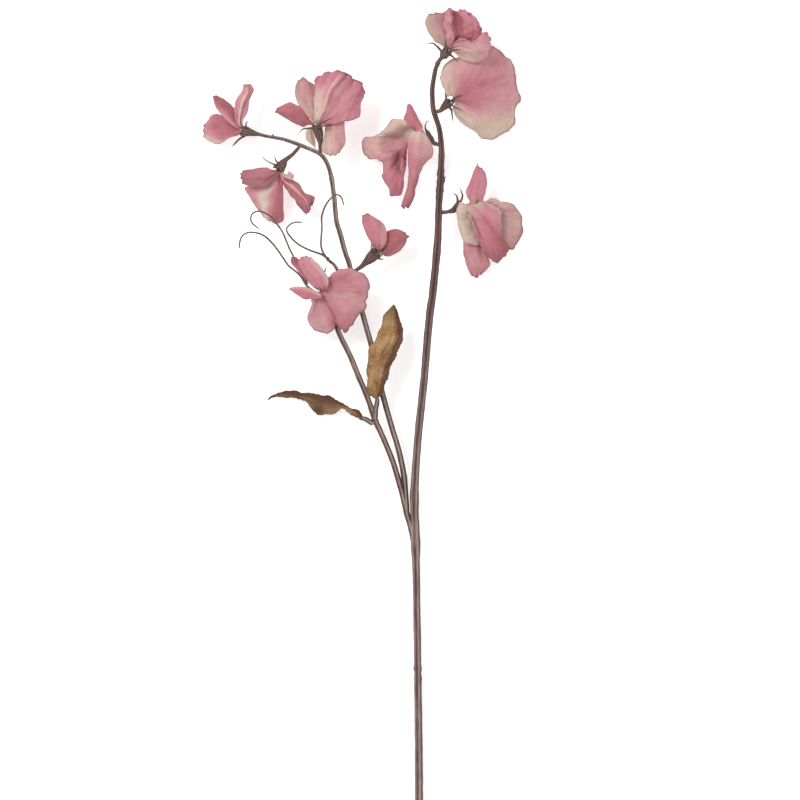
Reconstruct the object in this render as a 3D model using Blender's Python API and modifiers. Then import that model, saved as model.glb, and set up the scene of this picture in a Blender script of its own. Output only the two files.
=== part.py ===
"""A cut sweet pea spray lying on a flat surface: one forked stem, nine blossoms, four tendrils and two leaves.

Run it with blender --background --python part.py. Metres, +Z up. The stem runs along +Y, the surface
is the plane z = 0, and the origin is at the middle of the bottom of the spray's bounding box.
Routes and petal cages below are in millimetres: x to the right, y towards the blossoms, and z above the
surface, which DEPTH multiplies.
"""

import math

import bmesh
import bpy
from mathutils import Vector

MM = 0.001
DEPTH = 1.4  # how high everything stands above the surface, over the heights listed below
PETAL_THICKNESS = 0.8
LEAF_THICKNESS = 0.8
STEM_SIDES = 3  # bevel_resolution of the stems and calyxes, which gives them ten sides
THIN_SIDES = 1  # bevel_resolution of the tendrils and sepals, which gives them six sides
STEM_STEP = 9.0  # spacing of the points along a stem
TENDRIL_STEP = 4.0
SEPAL_STEP = 3.0
SEPAL_ROOT = 0.86  # how far along the cup a sepal starts, on the cup's own middle line
SEPAL_ROOT_RADIUS = 1.3

# The finishes: base colour, roughness.
FINISHES = {
    "stem": ((0.19, 0.12, 0.10), 0.6),
    "calyx": ((0.12, 0.08, 0.07), 0.65),
    "tendril": ((0.12, 0.08, 0.07), 0.55),
    "petal": ((0.62, 0.25, 0.29), 0.8),
    "pale_petal": ((0.66, 0.46, 0.38), 0.8),
    "leaf": ((0.32, 0.19, 0.08), 0.75),
}

# Routes: points (x, y, z, radius) along the middle of each stem.
MAIN_STEM = [
    (42.3, -300, 2.15, 3.0), (42.0, -256, 2.9, 2.9), (41.5, -213, 3.9, 2.8), (40.5, -141, 5.8, 2.7),
    (39.6, -98, 7.4, 2.9), (38.9, -65, 9.0, 2.9), (41.6, -22, 11.0, 2.8), (46.1, 21, 13.5, 2.8),
    (50.0, 66, 16.0, 2.8), (52.9, 88, 17.5, 2.8), (56.3, 124, 20.0, 2.7), (57.3, 152, 21.5, 2.4),
    (58.6, 172, 22.5, 2.4), (59.3, 190, 23.5, 2.1), (58.9, 200, 24.0, 2.0), (57.4, 210, 24.5, 1.9),
    (54.4, 219.5, 25.0, 1.9), (52.9, 226, 25.0, 1.8), (52.4, 239, 25.5, 1.7), (54.6, 253, 26.0, 1.6),
    (56.9, 259, 26.2, 1.7),
]
LEFT_BRANCH = [
    (33.6, -80.5, 8.6, 2.0), (28.9, -61.5, 9.2, 2.0), (22.9, -41, 10.0, 2.0), (14.3, -20, 11.0, 2.0),
    (9.8, -10, 11.5, 2.0), (3.9, 7, 12.2, 2.0), (-2.8, 23, 13.0, 2.0), (-9.4, 39, 14.0, 2.0),
    (-18.4, 58, 15.0, 1.9), (-22.0, 74, 15.8, 1.8), (-21.6, 89, 16.4, 1.6), (-18.6, 101, 17.0, 1.4),
    (-21.0, 107, 17.0, 1.2), (-24.6, 110.3, 17.0, 1.2),
]
ARCHING_BRANCH = [
    (31.6, -56, 9.0, 2.0), (30.4, -47, 9.0, 2.0), (27.2, -32, 9.5, 2.0), (21.2, -12, 10.5, 2.0),
    (15.1, 10, 11.5, 2.0), (6.8, 46, 13.0, 2.0), (1.0, 67, 14.0, 1.9), (-9.4, 106, 16.0, 1.8),
    (-12.8, 116, 17.0, 1.8), (-16.6, 130, 18.0, 1.8), (-19.7, 141, 18.5, 1.8), (-21.2, 157, 19.0, 1.8),
    (-23.0, 170, 20.0, 1.7), (-24.9, 179, 20.5, 1.7), (-28.5, 187, 21.0, 1.7), (-33.1, 191.3, 21.0, 1.7),
    (-40.3, 194.6, 21.0, 1.6), (-49.4, 198.3, 21.0, 1.6), (-60.4, 201.9, 20.5, 1.5),
    (-71.2, 203.8, 20.0, 1.4), (-77.8, 205.4, 20.0, 1.4),
]
TENDRILS = {
    "tendril_short_curl": [
        (-27.3, 113.0, 18.6, 0.9), (-31.5, 115.5, 19.5, 0.8), (-39.9, 118.5, 21, 0.7),
        (-47.9, 122.6, 22.5, 0.7), (-54, 128.3, 23.5, 0.7), (-57, 133.5, 24, 0.6),
        (-55.3, 136.7, 24, 0.6), (-51.4, 139, 24, 0.6), (-45.6, 139.3, 24, 0.5),
    ],
    "tendril_over_arch": [
        (-27.0, 112.4, 21.4, 0.9), (-30, 117.3, 22.5, 0.8), (-31.2, 123.3, 23.5, 0.7),
        (-30.5, 135, 25, 0.7), (-30.5, 143.3, 26, 0.7), (-27.8, 151.5, 27, 0.7), (-23.2, 157.5, 27, 0.7),
        (-19.1, 159.8, 27, 0.6), (-15.8, 157.5, 26.5, 0.6), (-14.1, 152.3, 26, 0.5),
    ],
    "tendril_long_hook": [
        (-25.0, 85.5, 16.0, 0.9), (-33, 86, 15, 0.9), (-41.3, 91.2, 14.5, 0.8), (-46.6, 99.2, 15, 0.8),
        (-52, 103.9, 16, 0.7), (-56, 107.3, 17, 0.7), (-60, 113.3, 18, 0.7), (-65.3, 120.8, 19, 0.7),
        (-70.7, 126.8, 20, 0.7), (-75.4, 130.1, 20, 0.7), (-80.8, 131.7, 20, 0.6), (-86.1, 131.7, 19, 0.6),
        (-90.2, 129.4, 18, 0.6), (-92.2, 124.7, 17, 0.6), (-92.3, 120.3, 16, 0.5),
    ],
    "tendril_looped": [
        (-42.6, 95.2, 17.2, 0.8), (-46.9, 103.5, 20, 0.7), (-52, 114, 24, 0.7), (-54.7, 119.3, 26, 0.7),
        (-57.4, 126, 27.5, 0.7), (-60, 132, 28, 0.7), (-64.1, 138, 28, 0.7), (-68, 142.7, 28, 0.7),
        (-73.4, 146.4, 27, 0.6), (-78.1, 147.5, 26, 0.6), (-82.1, 146.1, 25, 0.6), (-83.8, 142.7, 24.5, 0.6),
        (-82.9, 138.8, 24, 0.6), (-78.1, 134.6, 24, 0.5),
    ],
}
LEAF_STALKS = {
    "upright_leaf_stalk": [
        (9.6, -5.2, 15.0, 1.8), (9.9, -1, 15.8, 1.7), (10.7, 3, 16.6, 1.7), (11.2, 6.6, 17.4, 1.6),
    ],
    "drooping_leaf_stalk": [(5.4, -10.3, 12.6, 1.8), (3.2, -8.9, 12.2, 1.7), (0.9, -7.9, 11.6, 1.6)],
}

# Cages: rows of points from the leaf's stalk to its tip, each row from one edge to the other.
LEAVES = {
    "upright_leaf": [
        [(8.5, 8.3, 17.7), (10.5, 8.8, 19), (12, 10, 17.7)],
        [(3.6, 14, 19), (11, 17, 22), (15.2, 17, 18.5)],
        [(4, 24, 19), (12, 27, 24), (18, 26, 19)],
        [(3.4, 31, 20), (14, 37.5, 26), (22, 36, 20)],
        [(5.5, 44, 20), (16, 44, 26), (25, 44, 20)],
        [(10, 52, 20), (20.5, 52, 26), (28, 52.5, 20)],
        [(13.5, 60, 20), (20, 60, 25), (28, 58.5, 20)],
        [(16, 69, 21), (21.4, 70, 24), (26.4, 68, 21)],
        [(22, 76.4, 22), (23.4, 77.6, 22.5), (24.6, 76.4, 22)],
    ],
    "drooping_leaf": [
        [(-0.8, -8.8, 10.5), (-0.6, -7.4, 11.2), (-0.2, -6.2, 10.8)],
        [(-8, -4.6, 8), (-7, -3, 11), (-5.5, -1.8, 9)],
        [(-15, -1.5, 7), (-14, 0.5, 11), (-12, 1.3, 9)],
        [(-22.5, -4.2, 4), (-22.5, 2.2, 10.5), (-22, 5.8, 8)],
        [(-31, -4.2, 3), (-30, 3.5, 10), (-29, 8, 7)],
        [(-39.5, 1.2, 4), (-37, 6, 9.5), (-36, 9.8, 7)],
        [(-45, 6.5, 5), (-45, 8.4, 8), (-45, 10.3, 6.5)],
        [(-56, 8, 4), (-56, 9.6, 6), (-56, 11, 5)],
        [(-66, 8, 2.5), (-66.5, 9, 3.2), (-66.8, 9.8, 2.8)],
        [(-71.3, 5.8, 2), (-71.6, 6.4, 2.3), (-71, 7, 2.2)],
    ],
}


def fan(base, rim, rings):
    """Cage rows that spread from a short base edge to a rim. Each ring is (share of the way out, lift in mm)."""
    left, right = Vector(base[0]), Vector(base[1])
    last = len(rim) - 1
    start = [left.lerp(right, i / last) for i in range(last + 1)]
    rows = [start]
    for share, lift in rings:
        rows.append([a.lerp(Vector(b), share) + Vector((0, 0, lift)) for a, b in zip(start, rim)])
    return rows + [[Vector(p) for p in rim]]


# Blossoms: where each one sits (x, y), its stalk and cup (x, y, z, radius), its sepals and its petals.
# All of these are measured from the blossom's own place, with z from the surface.
BLOSSOMS = {
    "top": {
        "place": (73.1, 276),
        "cup": [(-15.6, -15.8, 26.6, 1.6), (-14.2, -14, 27, 1.5), (-12.3, -11.8, 27.5, 3.0), (-10, -9, 28, 3.8)],
        "sepals": [
            [(-12.5, -10.5, 28, 1.6), (-17.4, -4.8, 30, 1.2), (-21.5, -2.9, 30, 0.8), (-26.8, -4.8, 28, 0.3)],
            [(-9, -10.5, 28, 1.6), (-5, -13.2, 25.5, 1.0), (-0.8, -16.9, 24, 0.4)],
            [(-10.5, -8.5, 31, 1.6), (-10.8, -4.5, 36.5, 1.5), (-10.7, 1, 37.5, 0.4)],
            [(-7.8, -9, 31, 1.4), (-3.5, -8, 36.5, 1.0), (2.7, -8.2, 37.5, 0.4)],
        ],
        "petals": {
            "left_lobe": [
                [(-13, -5, 29), (-10, -4.5, 30), (-6.5, -4, 30)],
                [(-19, -0.5, 26), (-13, 2, 30), (-6, 3, 29)],
                [(-23, 6, 23), (-16, 8, 28), (-6, 9, 28)],
                [(-26, 15, 22), (-18, 16, 26.5), (-7, 17, 27)],
                [(-23.5, 20, 23), (-17.5, 20.5, 24.5), (-9, 20.5, 25.5)],
            ],
            "hood": [
                [(-10, -5, 32), (-7.5, -4.5, 33), (-5.5, -3.5, 31.5), (-2, -3.5, 31), (1.5, -4.5, 30.5)],
                [(-11, 4, 33), (-6.5, 4, 36.5), (-2, 3, 33.5), (5, 2, 34), (15.5, 0.5, 32)],
                [(-13, 13, 32), (-7.5, 13, 38), (-2, 12, 34), (6, 10, 37.5), (17.2, 7.4, 33)],
                [(-13.5, 19.5, 32), (-8.5, 20, 36), (-2.5, 19, 33), (4.5, 17, 38.5), (12.8, 12.4, 33.5)],
                [(-11, 22.5, 31), (-7, 24, 34), (-2.6, 22.6, 31.5), (3, 22.8, 35), (9.2, 18, 31.5)],
            ],
            "right_lobe": [
                [(-4.5, -9.5, 30), (-3.5, -6, 32.5), (-5, -2.4, 34.2)],
                [(2, -14.5, 28), (4, -7, 34), (1.5, 0.8, 37.4)],
                [(9.5, -17.5, 27), (12, -9, 35), (9.5, -2, 37)],
                [(16, -16.5, 26), (18.5, -8, 34), (17.2, 4.6, 36)],
                [(20.5, -12, 26), (23.2, -4, 29), (21.6, 5.2, 33)],
            ],
        },
    },
    "back_facing": {
        "place": (88.1, 238.5),
        "cup": [(-31.6, -16.2, 25, 1.4), (-29.5, -15.4, 25, 1.6), (-27, -12.8, 25.2, 2.4), (-23.4, -9, 25.5, 4)],
        "sepals": [
            [(-25, -9.5, 28.5, 1.6), (-25.8, -5.5, 31, 1.2), (-26, -1.5, 31.5, 0.4)],
            [(-23.5, -12, 25, 1.6), (-21, -17, 23, 1.1), (-20, -26, 19, 0.4)],
            [(-22.5, -9, 28.5, 1.4), (-18, -6.5, 32, 1.1), (-12.3, -4.5, 34.5, 0.4)],
            [(-22, -11, 28.8, 1.1), (-17.5, -14, 30.5, 0.7), (-11, -16.6, 30, 0.3)],
        ],
        "petals": {
            "standard": fan(
                ((-19.8, -8.5, 26), (-19.4, -5.5, 26)),
                [
                    (-19, -12.8, 23), (-13, -24, 17), (-7, -29.6, 14), (1, -35, 10), (9.8, -36.3, 7),
                    (18.5, -33, 3), (24.5, -26.3, 1.4), (27.2, -19.5, 1), (27.7, -11.3, 1), (30, -4.8, 1),
                    (27.4, 4, 1.6), (27.2, 14.3, 3), (25, 22, 6), (18.5, 27, 9), (11.5, 32.2, 12),
                    (0, 31, 15), (-10, 28, 17), (-18.8, 24, 18.5), (-27, 18, 19), (-31, 10.5, 19.5),
                    (-30.4, 4.5, 20), (-27, 0, 21), (-25.6, -3, 22.5), (-23.4, -4.8, 24),
                ],
                [(0.3, 2.5), (0.6, 6), (0.85, 3.5)],
            ),
            "wings": [
                [(-18, -9.5, 21.5), (-17, -8, 22.5), (-16.5, -6, 21.5)],
                [(-9, -14, 10.5), (-8, -6, 14.5), (-8, 2, 10.5)],
                [(0, -18, 6), (2, -4, 10), (2, 10, 6)],
                [(10, -16, 3), (12, -2, 6), (12, 12, 3)],
                [(18, -8, 1.6), (19, -2, 2.5), (18, 5, 1.6)],
            ],
        },
    },
    "middle": {
        "place": (28.1, 193.5),
        "cup": [(28, 4.3, 23.4, 1.4), (25.2, 5.4, 23.4, 1.7), (22.5, 8.5, 23.6, 2.3), (19.4, 11.6, 24, 3.6)],
        "sepals": [
            [(20, 13.5, 24, 1.4), (18.8, 17.6, 24.8, 0.8), (20.6, 21, 24.4, 0.6), (24.2, 22.6, 23, 0.3)],
        ],
        "petals": {
            "narrow": [
                [(9, 14.8, 19), (13, 14.4, 20.5), (17, 15, 19)],
                [(4.5, 19, 15), (10, 19, 19), (16.5, 18, 16)],
                [(3, 24, 14), (8.5, 25, 18), (14, 22.5, 15)],
                [(4.6, 30, 14), (8, 31, 17), (12, 28.5, 15)],
                [(5, 34.3, 14), (6.6, 35.5, 15), (8.8, 34, 14.5)],
            ],
            "standard": fan(
                ((12, 12.4, 24), (4, -0.5, 24.5)),
                [
                    (2.5, 23.3, 26), (-6, 22.8, 27), (-12.8, 15.5, 24), (-22, 11, 18), (-27.8, 8.5, 14),
                    (-29.1, -2.3, 12), (-25.7, -6.8, 13), (-17, -7.9, 17.5), (-13.5, -11, 17),
                    (-13.7, -16.5, 14), (-14.6, -22, 11), (-9.8, -31.5, 9), (-6.2, -34.3, 8),
                    (1, -33.6, 10), (1.6, -26, 13.5), (1, -18, 16), (0.6, -8, 19.5),
                ],
                [(0.35, -3), (0.7, 3.5)],
            ),
            "hanging_wing": [
                [(10.5, 13, 28), (14.5, 13.5, 29.5), (18.5, 11.5, 28)],
                [(6.2, 8, 28), (14, 6, 31.5), (23.8, 4, 27)],
                [(5, -3, 27), (13, -4, 32), (24.8, -4, 25)],
                [(6.2, -13, 26), (12, -13.5, 30.5), (17, -12.5, 25)],
                [(6.2, -24, 24), (9.5, -25, 28), (12.9, -23.5, 24)],
                [(3.5, -35, 20), (7, -35.5, 24), (10.2, -34, 20)],
                [(0.6, -42, 16.5), (3, -45, 18), (7, -43, 17)],
            ],
        },
    },
    "lower_right": {
        "place": (95.6, 141),
        "cup": [(-34.9, 5.9, 20.3, 1.5), (-31.5, 6.3, 19.5, 1.4), (-27.5, 7.6, 17.5, 2.0), (-23, 11.2, 15, 3.4)],
        "sepals": [
            [(-22.5, 13, 16, 1.4), (-20.5, 19, 17.5, 1.0), (-23.4, 25.7, 18, 0.4)],
            [(-24.2, 12.5, 16, 1.4), (-24.8, 17.6, 17.5, 1.0), (-28.8, 20.3, 18, 0.4)],
        ],
        "petals": {
            "narrow": [
                [(-15.2, 13.4, 20), (-12, 12.6, 21.4), (-7, 14, 20.2)],
                [(-18.2, 21, 19), (-12, 20, 24), (-4.5, 18, 20)],
                [(-16, 27.5, 18), (-10, 27, 23), (-2.4, 25, 19)],
                [(-13.5, 35, 17), (-8.5, 35, 21), (-2.5, 32.5, 18)],
                [(-11, 41, 17), (-9.2, 43, 18), (-6.5, 40.5, 17)],
            ],
            "standard": fan(
                ((-13.6, 4, 17), (-9.4, 12, 17.4)),
                [
                    (-4, -8, 15), (2, -15, 13), (8, -19, 11), (16.5, -20.5, 8.5), (21.5, -15.8, 8),
                    (24.3, -5, 8), (24, 4.5, 9), (18, 11, 12), (9.4, 14.6, 14), (0.5, 15.8, 15),
                ],
                [(0.35, 1.5), (0.7, 3)],
            ),
            "centre": fan(
                ((-16.2, 6, 23), (-10.4, 12.8, 22.5)),
                [
                    (-15.2, 1.5, 21.5), (-10.5, -8.7, 20.5), (-6.3, -23, 17), (-0.6, -30.6, 15),
                    (7, -32.6, 13.5), (14.7, -25.9, 13), (15.7, -21.2, 13.5), (10.9, -15.4, 15),
                    (10.9, -3, 17), (9, 6.8, 18.5), (-1.8, 14.8, 20),
                ],
                [(0.35, 3), (0.7, 6)],
            ),
            "lower_wing": [
                [(-18.6, -4.5, 14), (-15.5, -4, 15.5), (-12, -4.5, 15)],
                [(-20, -13, 11), (-14, -14, 15), (-7, -14, 14)],
                [(-19.5, -24, 7), (-12, -25, 13), (-3, -25, 11.5)],
                [(-17.5, -34, 3), (-10, -34, 9.5), (0.5, -33, 7.5)],
                [(-14, -41, 0.8), (-10, -43.5, 2.5), (-5.5, -40, 3.5)],
            ],
            "cream_lobe": [
                [(-8.4, -17.2, 16.2), (-10.8, -9, 17.2), (-13.8, -0.5, 18.4), (-15.8, 7, 19.2), (-17.5, 12, 20)],
                [(-15, -18.2, 18), (-18.4, -9, 20), (-20.4, 0, 21), (-21.2, 7, 21.6), (-21, 13, 22)],
                [(-20.3, -15.8, 17), (-23.2, -8, 18.8), (-25, 1, 20), (-25.6, 8.5, 20.5), (-23, 13.8, 21)],
            ],
        },
    },
    "leftmost": {
        "place": (-99.4, 219.8),
        "cup": [(21.2, -14.3, 20, 1.5), (17.5, -13.6, 20, 2.2), (13, -12.6, 19.8, 3.2), (9.4, -11.8, 19.5, 3.8)],
        "sepals": [
            [(12, -14.5, 18, 1.6), (7, -17.5, 16, 1.3), (3.5, -21, 14, 1.1), (1, -24.8, 12.5, 0.4)],
            [(12.5, -10.5, 21, 1.3), (12, -7, 22.5, 0.9), (13.5, -4, 22, 0.4)],
        ],
        "petals": {
            "narrow": [
                [(5, -5, 22), (7, -5, 23.5), (9, -4.5, 22.5)],
                [(4.5, 4, 21), (8, 4, 25), (12.4, 3, 22)],
                [(5.5, 12, 20), (10, 11, 26), (14, 11, 22)],
                [(9, 18.5, 20), (13, 17, 25), (17.5, 19, 21)],
                [(9, 22.5, 20), (12, 25, 22), (16.3, 23, 21)],
            ],
            "pointed": [
                [(3.6, -8.4, 19), (5, -7, 20), (6.4, -5.6, 19)],
                [(-3.5, -1.8, 16), (-0.5, 2, 19.5), (3.6, 3, 17)],
                [(-9.6, 5, 13), (-6.5, 8.5, 17), (-1.6, 9.4, 15.5)],
                [(-13.7, 14.8, 13), (-13.2, 15.6, 13.6), (-11.8, 15.6, 13.4)],
            ],
            "lower_lobe": [
                [(5.5, -15, 15), (5, -12.4, 16.2), (5, -9.4, 15.2)],
                [(-1, -16.5, 11.5), (-2, -10, 15), (-1.5, -3.6, 12.8)],
                [(-8, -19.8, 7), (-9, -11, 13), (-8.5, 1, 10)],
                [(-15, -18.5, 2.8), (-15.5, -11, 9), (-14, 0.8, 8)],
                [(-19, -14.8, 0.8), (-20.4, -9.5, 3), (-18.4, -4.2, 5)],
            ],
        },
    },
    "upper_left": {
        "place": (-24.4, 223.5),
        "cup": [(-7.2, -28.8, 22.8, 1.5), (-7.3, -24.5, 24, 1.8), (-8.2, -19, 25, 3.0), (-9.9, -12, 26, 4.0)],
        "sepals": [
            [(-12, -13.5, 25, 1.3), (-16.5, -13.8, 23.5, 1), (-21, -14.5, 21, 0.7), (-25.5, -20.5, 18, 0.3)],
            [(-8, -11.5, 31, 1.2), (-3, -8.5, 35, 0.8), (4.5, -5.5, 35.5, 0.3)],
            [(-7.6, -13, 30, 1.2), (-1.5, -11.8, 34, 0.7), (2.5, -10, 34.5, 0.3)],
        ],
        "petals": {
            "left_wing": [
                [(-16, -11, 20), (-15, -9, 21), (-15, -6.5, 20.5)],
                [(-20, -12, 16), (-19, -6, 20), (-18.5, 0, 17.5)],
                [(-27, -9.7, 14), (-26, -3, 19), (-24.5, 4, 15)],
                [(-34, -6, 12), (-33.5, 0, 17), (-31.5, 6.3, 14.5)],
                [(-41, -1.5, 12), (-41.5, 0, 12.8), (-40, 1.8, 12.4)],
            ],
            "cream_lobe": [
                [(-14.5, -6.5, 25), (-11.5, -5.5, 26.5), (-8, -5, 26)],
                [(-19.5, 0, 22), (-14, 2, 26.5), (-6, 2.5, 25.5)],
                [(-24.8, 7, 19), (-16.5, 9, 26), (-5, 9, 25)],
                [(-26.8, 15, 18), (-18.5, 16.5, 25), (-7, 14, 24.5)],
                [(-24.6, 22, 20), (-20, 25, 23), (-13.5, 20.5, 24)],
            ],
            "crown": [
                [(-12, -7, 29.5), (-10, -6.5, 30.5), (-8, -6.5, 31.5), (-6, -7.5, 31), (-4, -9, 30), (-2, -10.5, 29)],
                [(-12, 3, 29), (-7.5, 4, 31.5), (-3.5, 3.5, 35), (0, 2, 33.5), (6, -2.5, 32), (11, -9.5, 29.5)],
                [(-12.5, 13, 28.5), (-7, 14, 31.5), (-1, 13.5, 37), (4, 11, 34.5), (13, 5, 32), (20.5, -6, 27.5)],
                [(-11.6, 21, 28), (-5, 22.5, 31.5), (4, 21, 37), (10, 18, 34.5), (20, 12, 31), (22, 2, 25.5)],
                [(-10, 24, 28), (-3.5, 29, 30), (9.5, 29, 35.5), (16, 26, 33.5), (26, 19, 28), (24, 9.5, 25)],
            ],
            "lower_lobe": [
                [(-4, -10.5, 24.5), (2, -9.5, 26), (8.5, -6.5, 25)],
                [(-4.4, -17, 26), (2.5, -16, 29), (11, -13, 25.5)],
                [(-6, -24, 26), (2, -23, 30), (12, -21, 26)],
                [(-6.2, -29.5, 25.5), (2.5, -30, 29.5), (11.5, -26.5, 25.5)],
                [(-3, -33.5, 25), (1.5, -35.3, 27), (7, -32.5, 25.5)],
            ],
            "small_lobe": [
                [(-16, -13.8, 15), (-14.5, -13.8, 16), (-13, -13.8, 15.5)],
                [(-18.6, -16.5, 13), (-15.5, -18, 16), (-12.5, -18, 15)],
                [(-17.5, -22, 12), (-14.5, -23, 15), (-11, -23, 14)],
                [(-14, -26.5, 11.5), (-12.5, -27.5, 12.5), (-11, -28.3, 12)],
            ],
        },
    },
    "under_arch": {
        "place": (-65.6, 163.5),
        "cup": [
            (16.9, 31, 20.6, 1.3), (12.8, 26.5, 20.5, 1.4), (8.3, 23, 21, 1.8), (5.6, 19.4, 21.5, 3.2),
            (2.6, 15.6, 22, 4.6),
        ],
        "sepals": [
            [(1.5, 18.5, 24, 1.2), (-4, 20.5, 26, 0.8), (-8, 23.5, 26.5, 0.6), (-10.5, 27.5, 26, 0.3)],
            [(3, 19.5, 25, 1.2), (0.5, 22.5, 27.5, 0.8), (-0.6, 27, 28, 0.3)],
        ],
        "petals": {
            "left_wing": [
                [(-1.6, 9.5, 22), (-2, 12, 23.4), (-2.6, 15, 22.6)],
                [(-6, 6, 20.5), (-6.5, 11, 25), (-7, 16.4, 21.5)],
                [(-14, 3.6, 17), (-13.5, 10, 23.5), (-14, 16.2, 19)],
                [(-20, 4.4, 14.5), (-20, 10, 22), (-20.5, 15.2, 18)],
                [(-24.6, 6.2, 14), (-26.8, 10, 18.5), (-25.3, 13.6, 17)],
            ],
            "centre": [
                [(-4, 9, 17), (0, 9.6, 18.2), (3, 9.4, 18.2), (5.4, 8.6, 17)],
                [(-12, 3.4, 11.5), (-4, 2, 16.5), (2, 2, 19), (5.8, 2.5, 17)],
                [(-22.8, 2.6, 6), (-10, -4, 12), (0, -6, 17), (5.8, -5, 15.5)],
                [(-18, -6.5, 3), (-10, -12, 8), (-1.5, -14, 13.5), (6, -13, 12)],
                [(-11, -16.5, 1), (-6, -20, 4), (0, -22, 8), (6.8, -20, 7.5)],
                [(-9, -19.8, 0.6), (-3.5, -22.3, 2), (3, -25.3, 5), (6.6, -23, 5.5)],
            ],
            "right_wing": [
                [(6.4, 5, 21.6), (7, 7, 22.8), (8.8, 8, 21.8)],
                [(9.4, 0, 18), (13, 3, 24), (18, 5, 20)],
                [(14, -7.5, 15), (19, -3, 23), (22.5, -1.8, 18)],
                [(19.5, -14, 12), (24, -9, 20), (29.4, -4.6, 15)],
                [(23.4, -18.8, 11), (25.5, -16.5, 13), (27.6, -12.5, 13)],
            ],
            "small_lobe": [
                [(6.8, 9.6, 25), (7.6, 10.8, 25.8), (8.4, 12, 25.2)],
                [(9.4, 8.2, 26.4), (9.9, 11.4, 28), (9.4, 14.6, 26.6)],
                [(12.5, 7.2, 26.2), (13, 10, 28), (12.2, 13.4, 26.6)],
                [(14, 8.5, 25.8), (14.6, 10, 26.2), (14, 12, 25.8)],
            ],
        },
    },
    "bud": {
        "place": (16.9, 126),
        "cup": [
            (-22.6, -23, 17.2, 1.3), (-18, -20, 17.2, 1.6), (-14.4, -16.6, 17.6, 2.4), (-9.6, -12.2, 18, 4),
            (-6.2, -9.2, 18.5, 4.6),
        ],
        "sepals": [
            [(-9.5, -9.4, 22, 1.3), (-10.2, -6, 24.8, 0.9), (-10, -2.6, 26, 0.3)],
            [(-7, -11, 23.5, 1.1), (-4.6, -8.2, 26, 0.8), (-3.2, -5, 27, 0.3)],
            [(-5.5, -13, 19, 1.4), (-2.6, -14.6, 20, 0.9), (-0.2, -13.8, 20.4, 0.4)],
        ],
        "petals": {
            "left_lobe": [
                [(-9.5, -4.6, 20.5), (-5.5, -3.8, 22.4), (-2, -5.4, 21.4)],
                [(-11.5, 0, 22), (-6, 1, 24.5), (0.5, -2.5, 22.4)],
                [(-15, 6.5, 20), (-7, 8, 25), (1.4, 4, 23)],
                [(-17.4, 13, 19), (-9, 14, 24), (0, 11, 22)],
                [(-18.2, 18.5, 19), (-13.5, 20.4, 22), (-4, 15.5, 21)],
            ],
            "right_lobe": [
                [(-3, -6.2, 16.4), (-0.4, -9.2, 18), (1.2, -12, 16.8)],
                [(-0.5, 1, 17), (4, -4, 21), (6.5, -11, 18)],
                [(2, 6.6, 18), (8, 1.5, 22), (11.5, -8, 19)],
                [(9, 8.4, 19), (13, 4, 21), (14.8, -4, 19)],
                [(15.6, 5.6, 20), (18.4, 3, 20.4), (17.2, 1, 19.5)],
            ],
        },
    },
    "front": {
        "place": (-20.6, 84.8),
        "cup": [(-4.6, 0.6, 18.2, 1.3), (-6.2, 1.4, 18.8, 1.8), (-8.2, 2.4, 19.6, 2.6), (-9.8, 3.1, 20.4, 3.2)],
        "sepals": [
            [(-8.8, 5, 19.6, 1.4), (-8.5, 12, 20, 1.1), (-8, 18, 20, 0.9), (-5.1, 22.3, 20.2, 0.4)],
        ],
        "petals": {
            "standard": fan(
                ((-12.8, -1, 24.5), (-7.6, 6.6, 24.5)),
                [
                    (-17.6, -3.8, 21), (-18.2, -12, 17.5), (-19.5, -20.4, 14), (-16.4, -27.2, 13.5),
                    (-9.6, -30.6, 15), (-3.2, -29, 18), (0.4, -25.4, 20), (2.4, -22.6, 21),
                    (4.8, -27.6, 20), (8.4, -30, 20), (13, -24.8, 21.5), (17.4, -18.6, 22.5),
                    (22.8, -11.6, 23.5), (24.6, -5, 24), (26.6, 0, 24.5), (26.6, 7.4, 25), (23, 15, 25),
                    (16, 19.4, 25), (8.4, 20.8, 25), (0.6, 18.4, 24.5), (-4.4, 13.4, 24),
                ],
                [(0.35, 1), (0.7, 2.6)],
            ),
            "back_wing": [
                [(-14.5, 5, 25.4), (-13, 6.2, 26), (-11.5, 7.2, 25.4)],
                [(-22, 11.5, 25), (-18.5, 13, 26.4), (-15, 14.5, 25)],
                [(-28.8, 18.5, 25.2), (-24.8, 20, 26.8), (-20.8, 21, 25.2)],
                [(-33, 24, 25.8), (-29.5, 25, 27), (-26, 26, 25.4)],
                [(-32.8, 28.6, 26), (-31, 29.6, 26.4), (-29, 28.6, 26)],
            ],
            "upper_wing": [
                [(-12, 4.6, 29.2), (-9, 5.4, 30.2), (-5.6, 6.6, 29.6)],
                [(-19, 10, 29), (-13, 12, 33), (-5, 13, 31)],
                [(-24.5, 17.5, 28.5), (-18.5, 19, 34), (-10.5, 20.8, 32)],
                [(-27.8, 23.5, 28.5), (-22.5, 24.5, 33), (-15.5, 25.5, 32)],
                [(-26.5, 28, 28.5), (-22.5, 29.2, 31), (-18, 28.8, 31)],
            ],
            "lower_wing": [
                [(-10.4, -2.2, 28.4), (-10.2, -1, 29), (-10.4, 0.4, 28.4)],
                [(-18.2, -3, 26.4), (-16.5, 0.3, 28.4), (-15, 3, 27)],
                [(-24, -3, 25), (-23, 2, 27.5), (-22.7, 6, 26)],
                [(-29.6, 0.5, 25), (-30, 3.5, 26.5), (-30.4, 6.4, 25.5)],
                [(-34, 3.5, 25), (-34.5, 4.5, 25.5), (-34.8, 5.2, 25)],
            ],
        },
    },
}
PALE_PETALS = {
    "top_left_lobe", "lower_right_cream_lobe", "lower_right_standard", "upper_left_cream_lobe",
    "upper_left_small_lobe", "under_arch_small_lobe",
}


def clear_scene():
    for obj in list(bpy.data.objects):
        bpy.data.objects.remove(obj)


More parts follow.
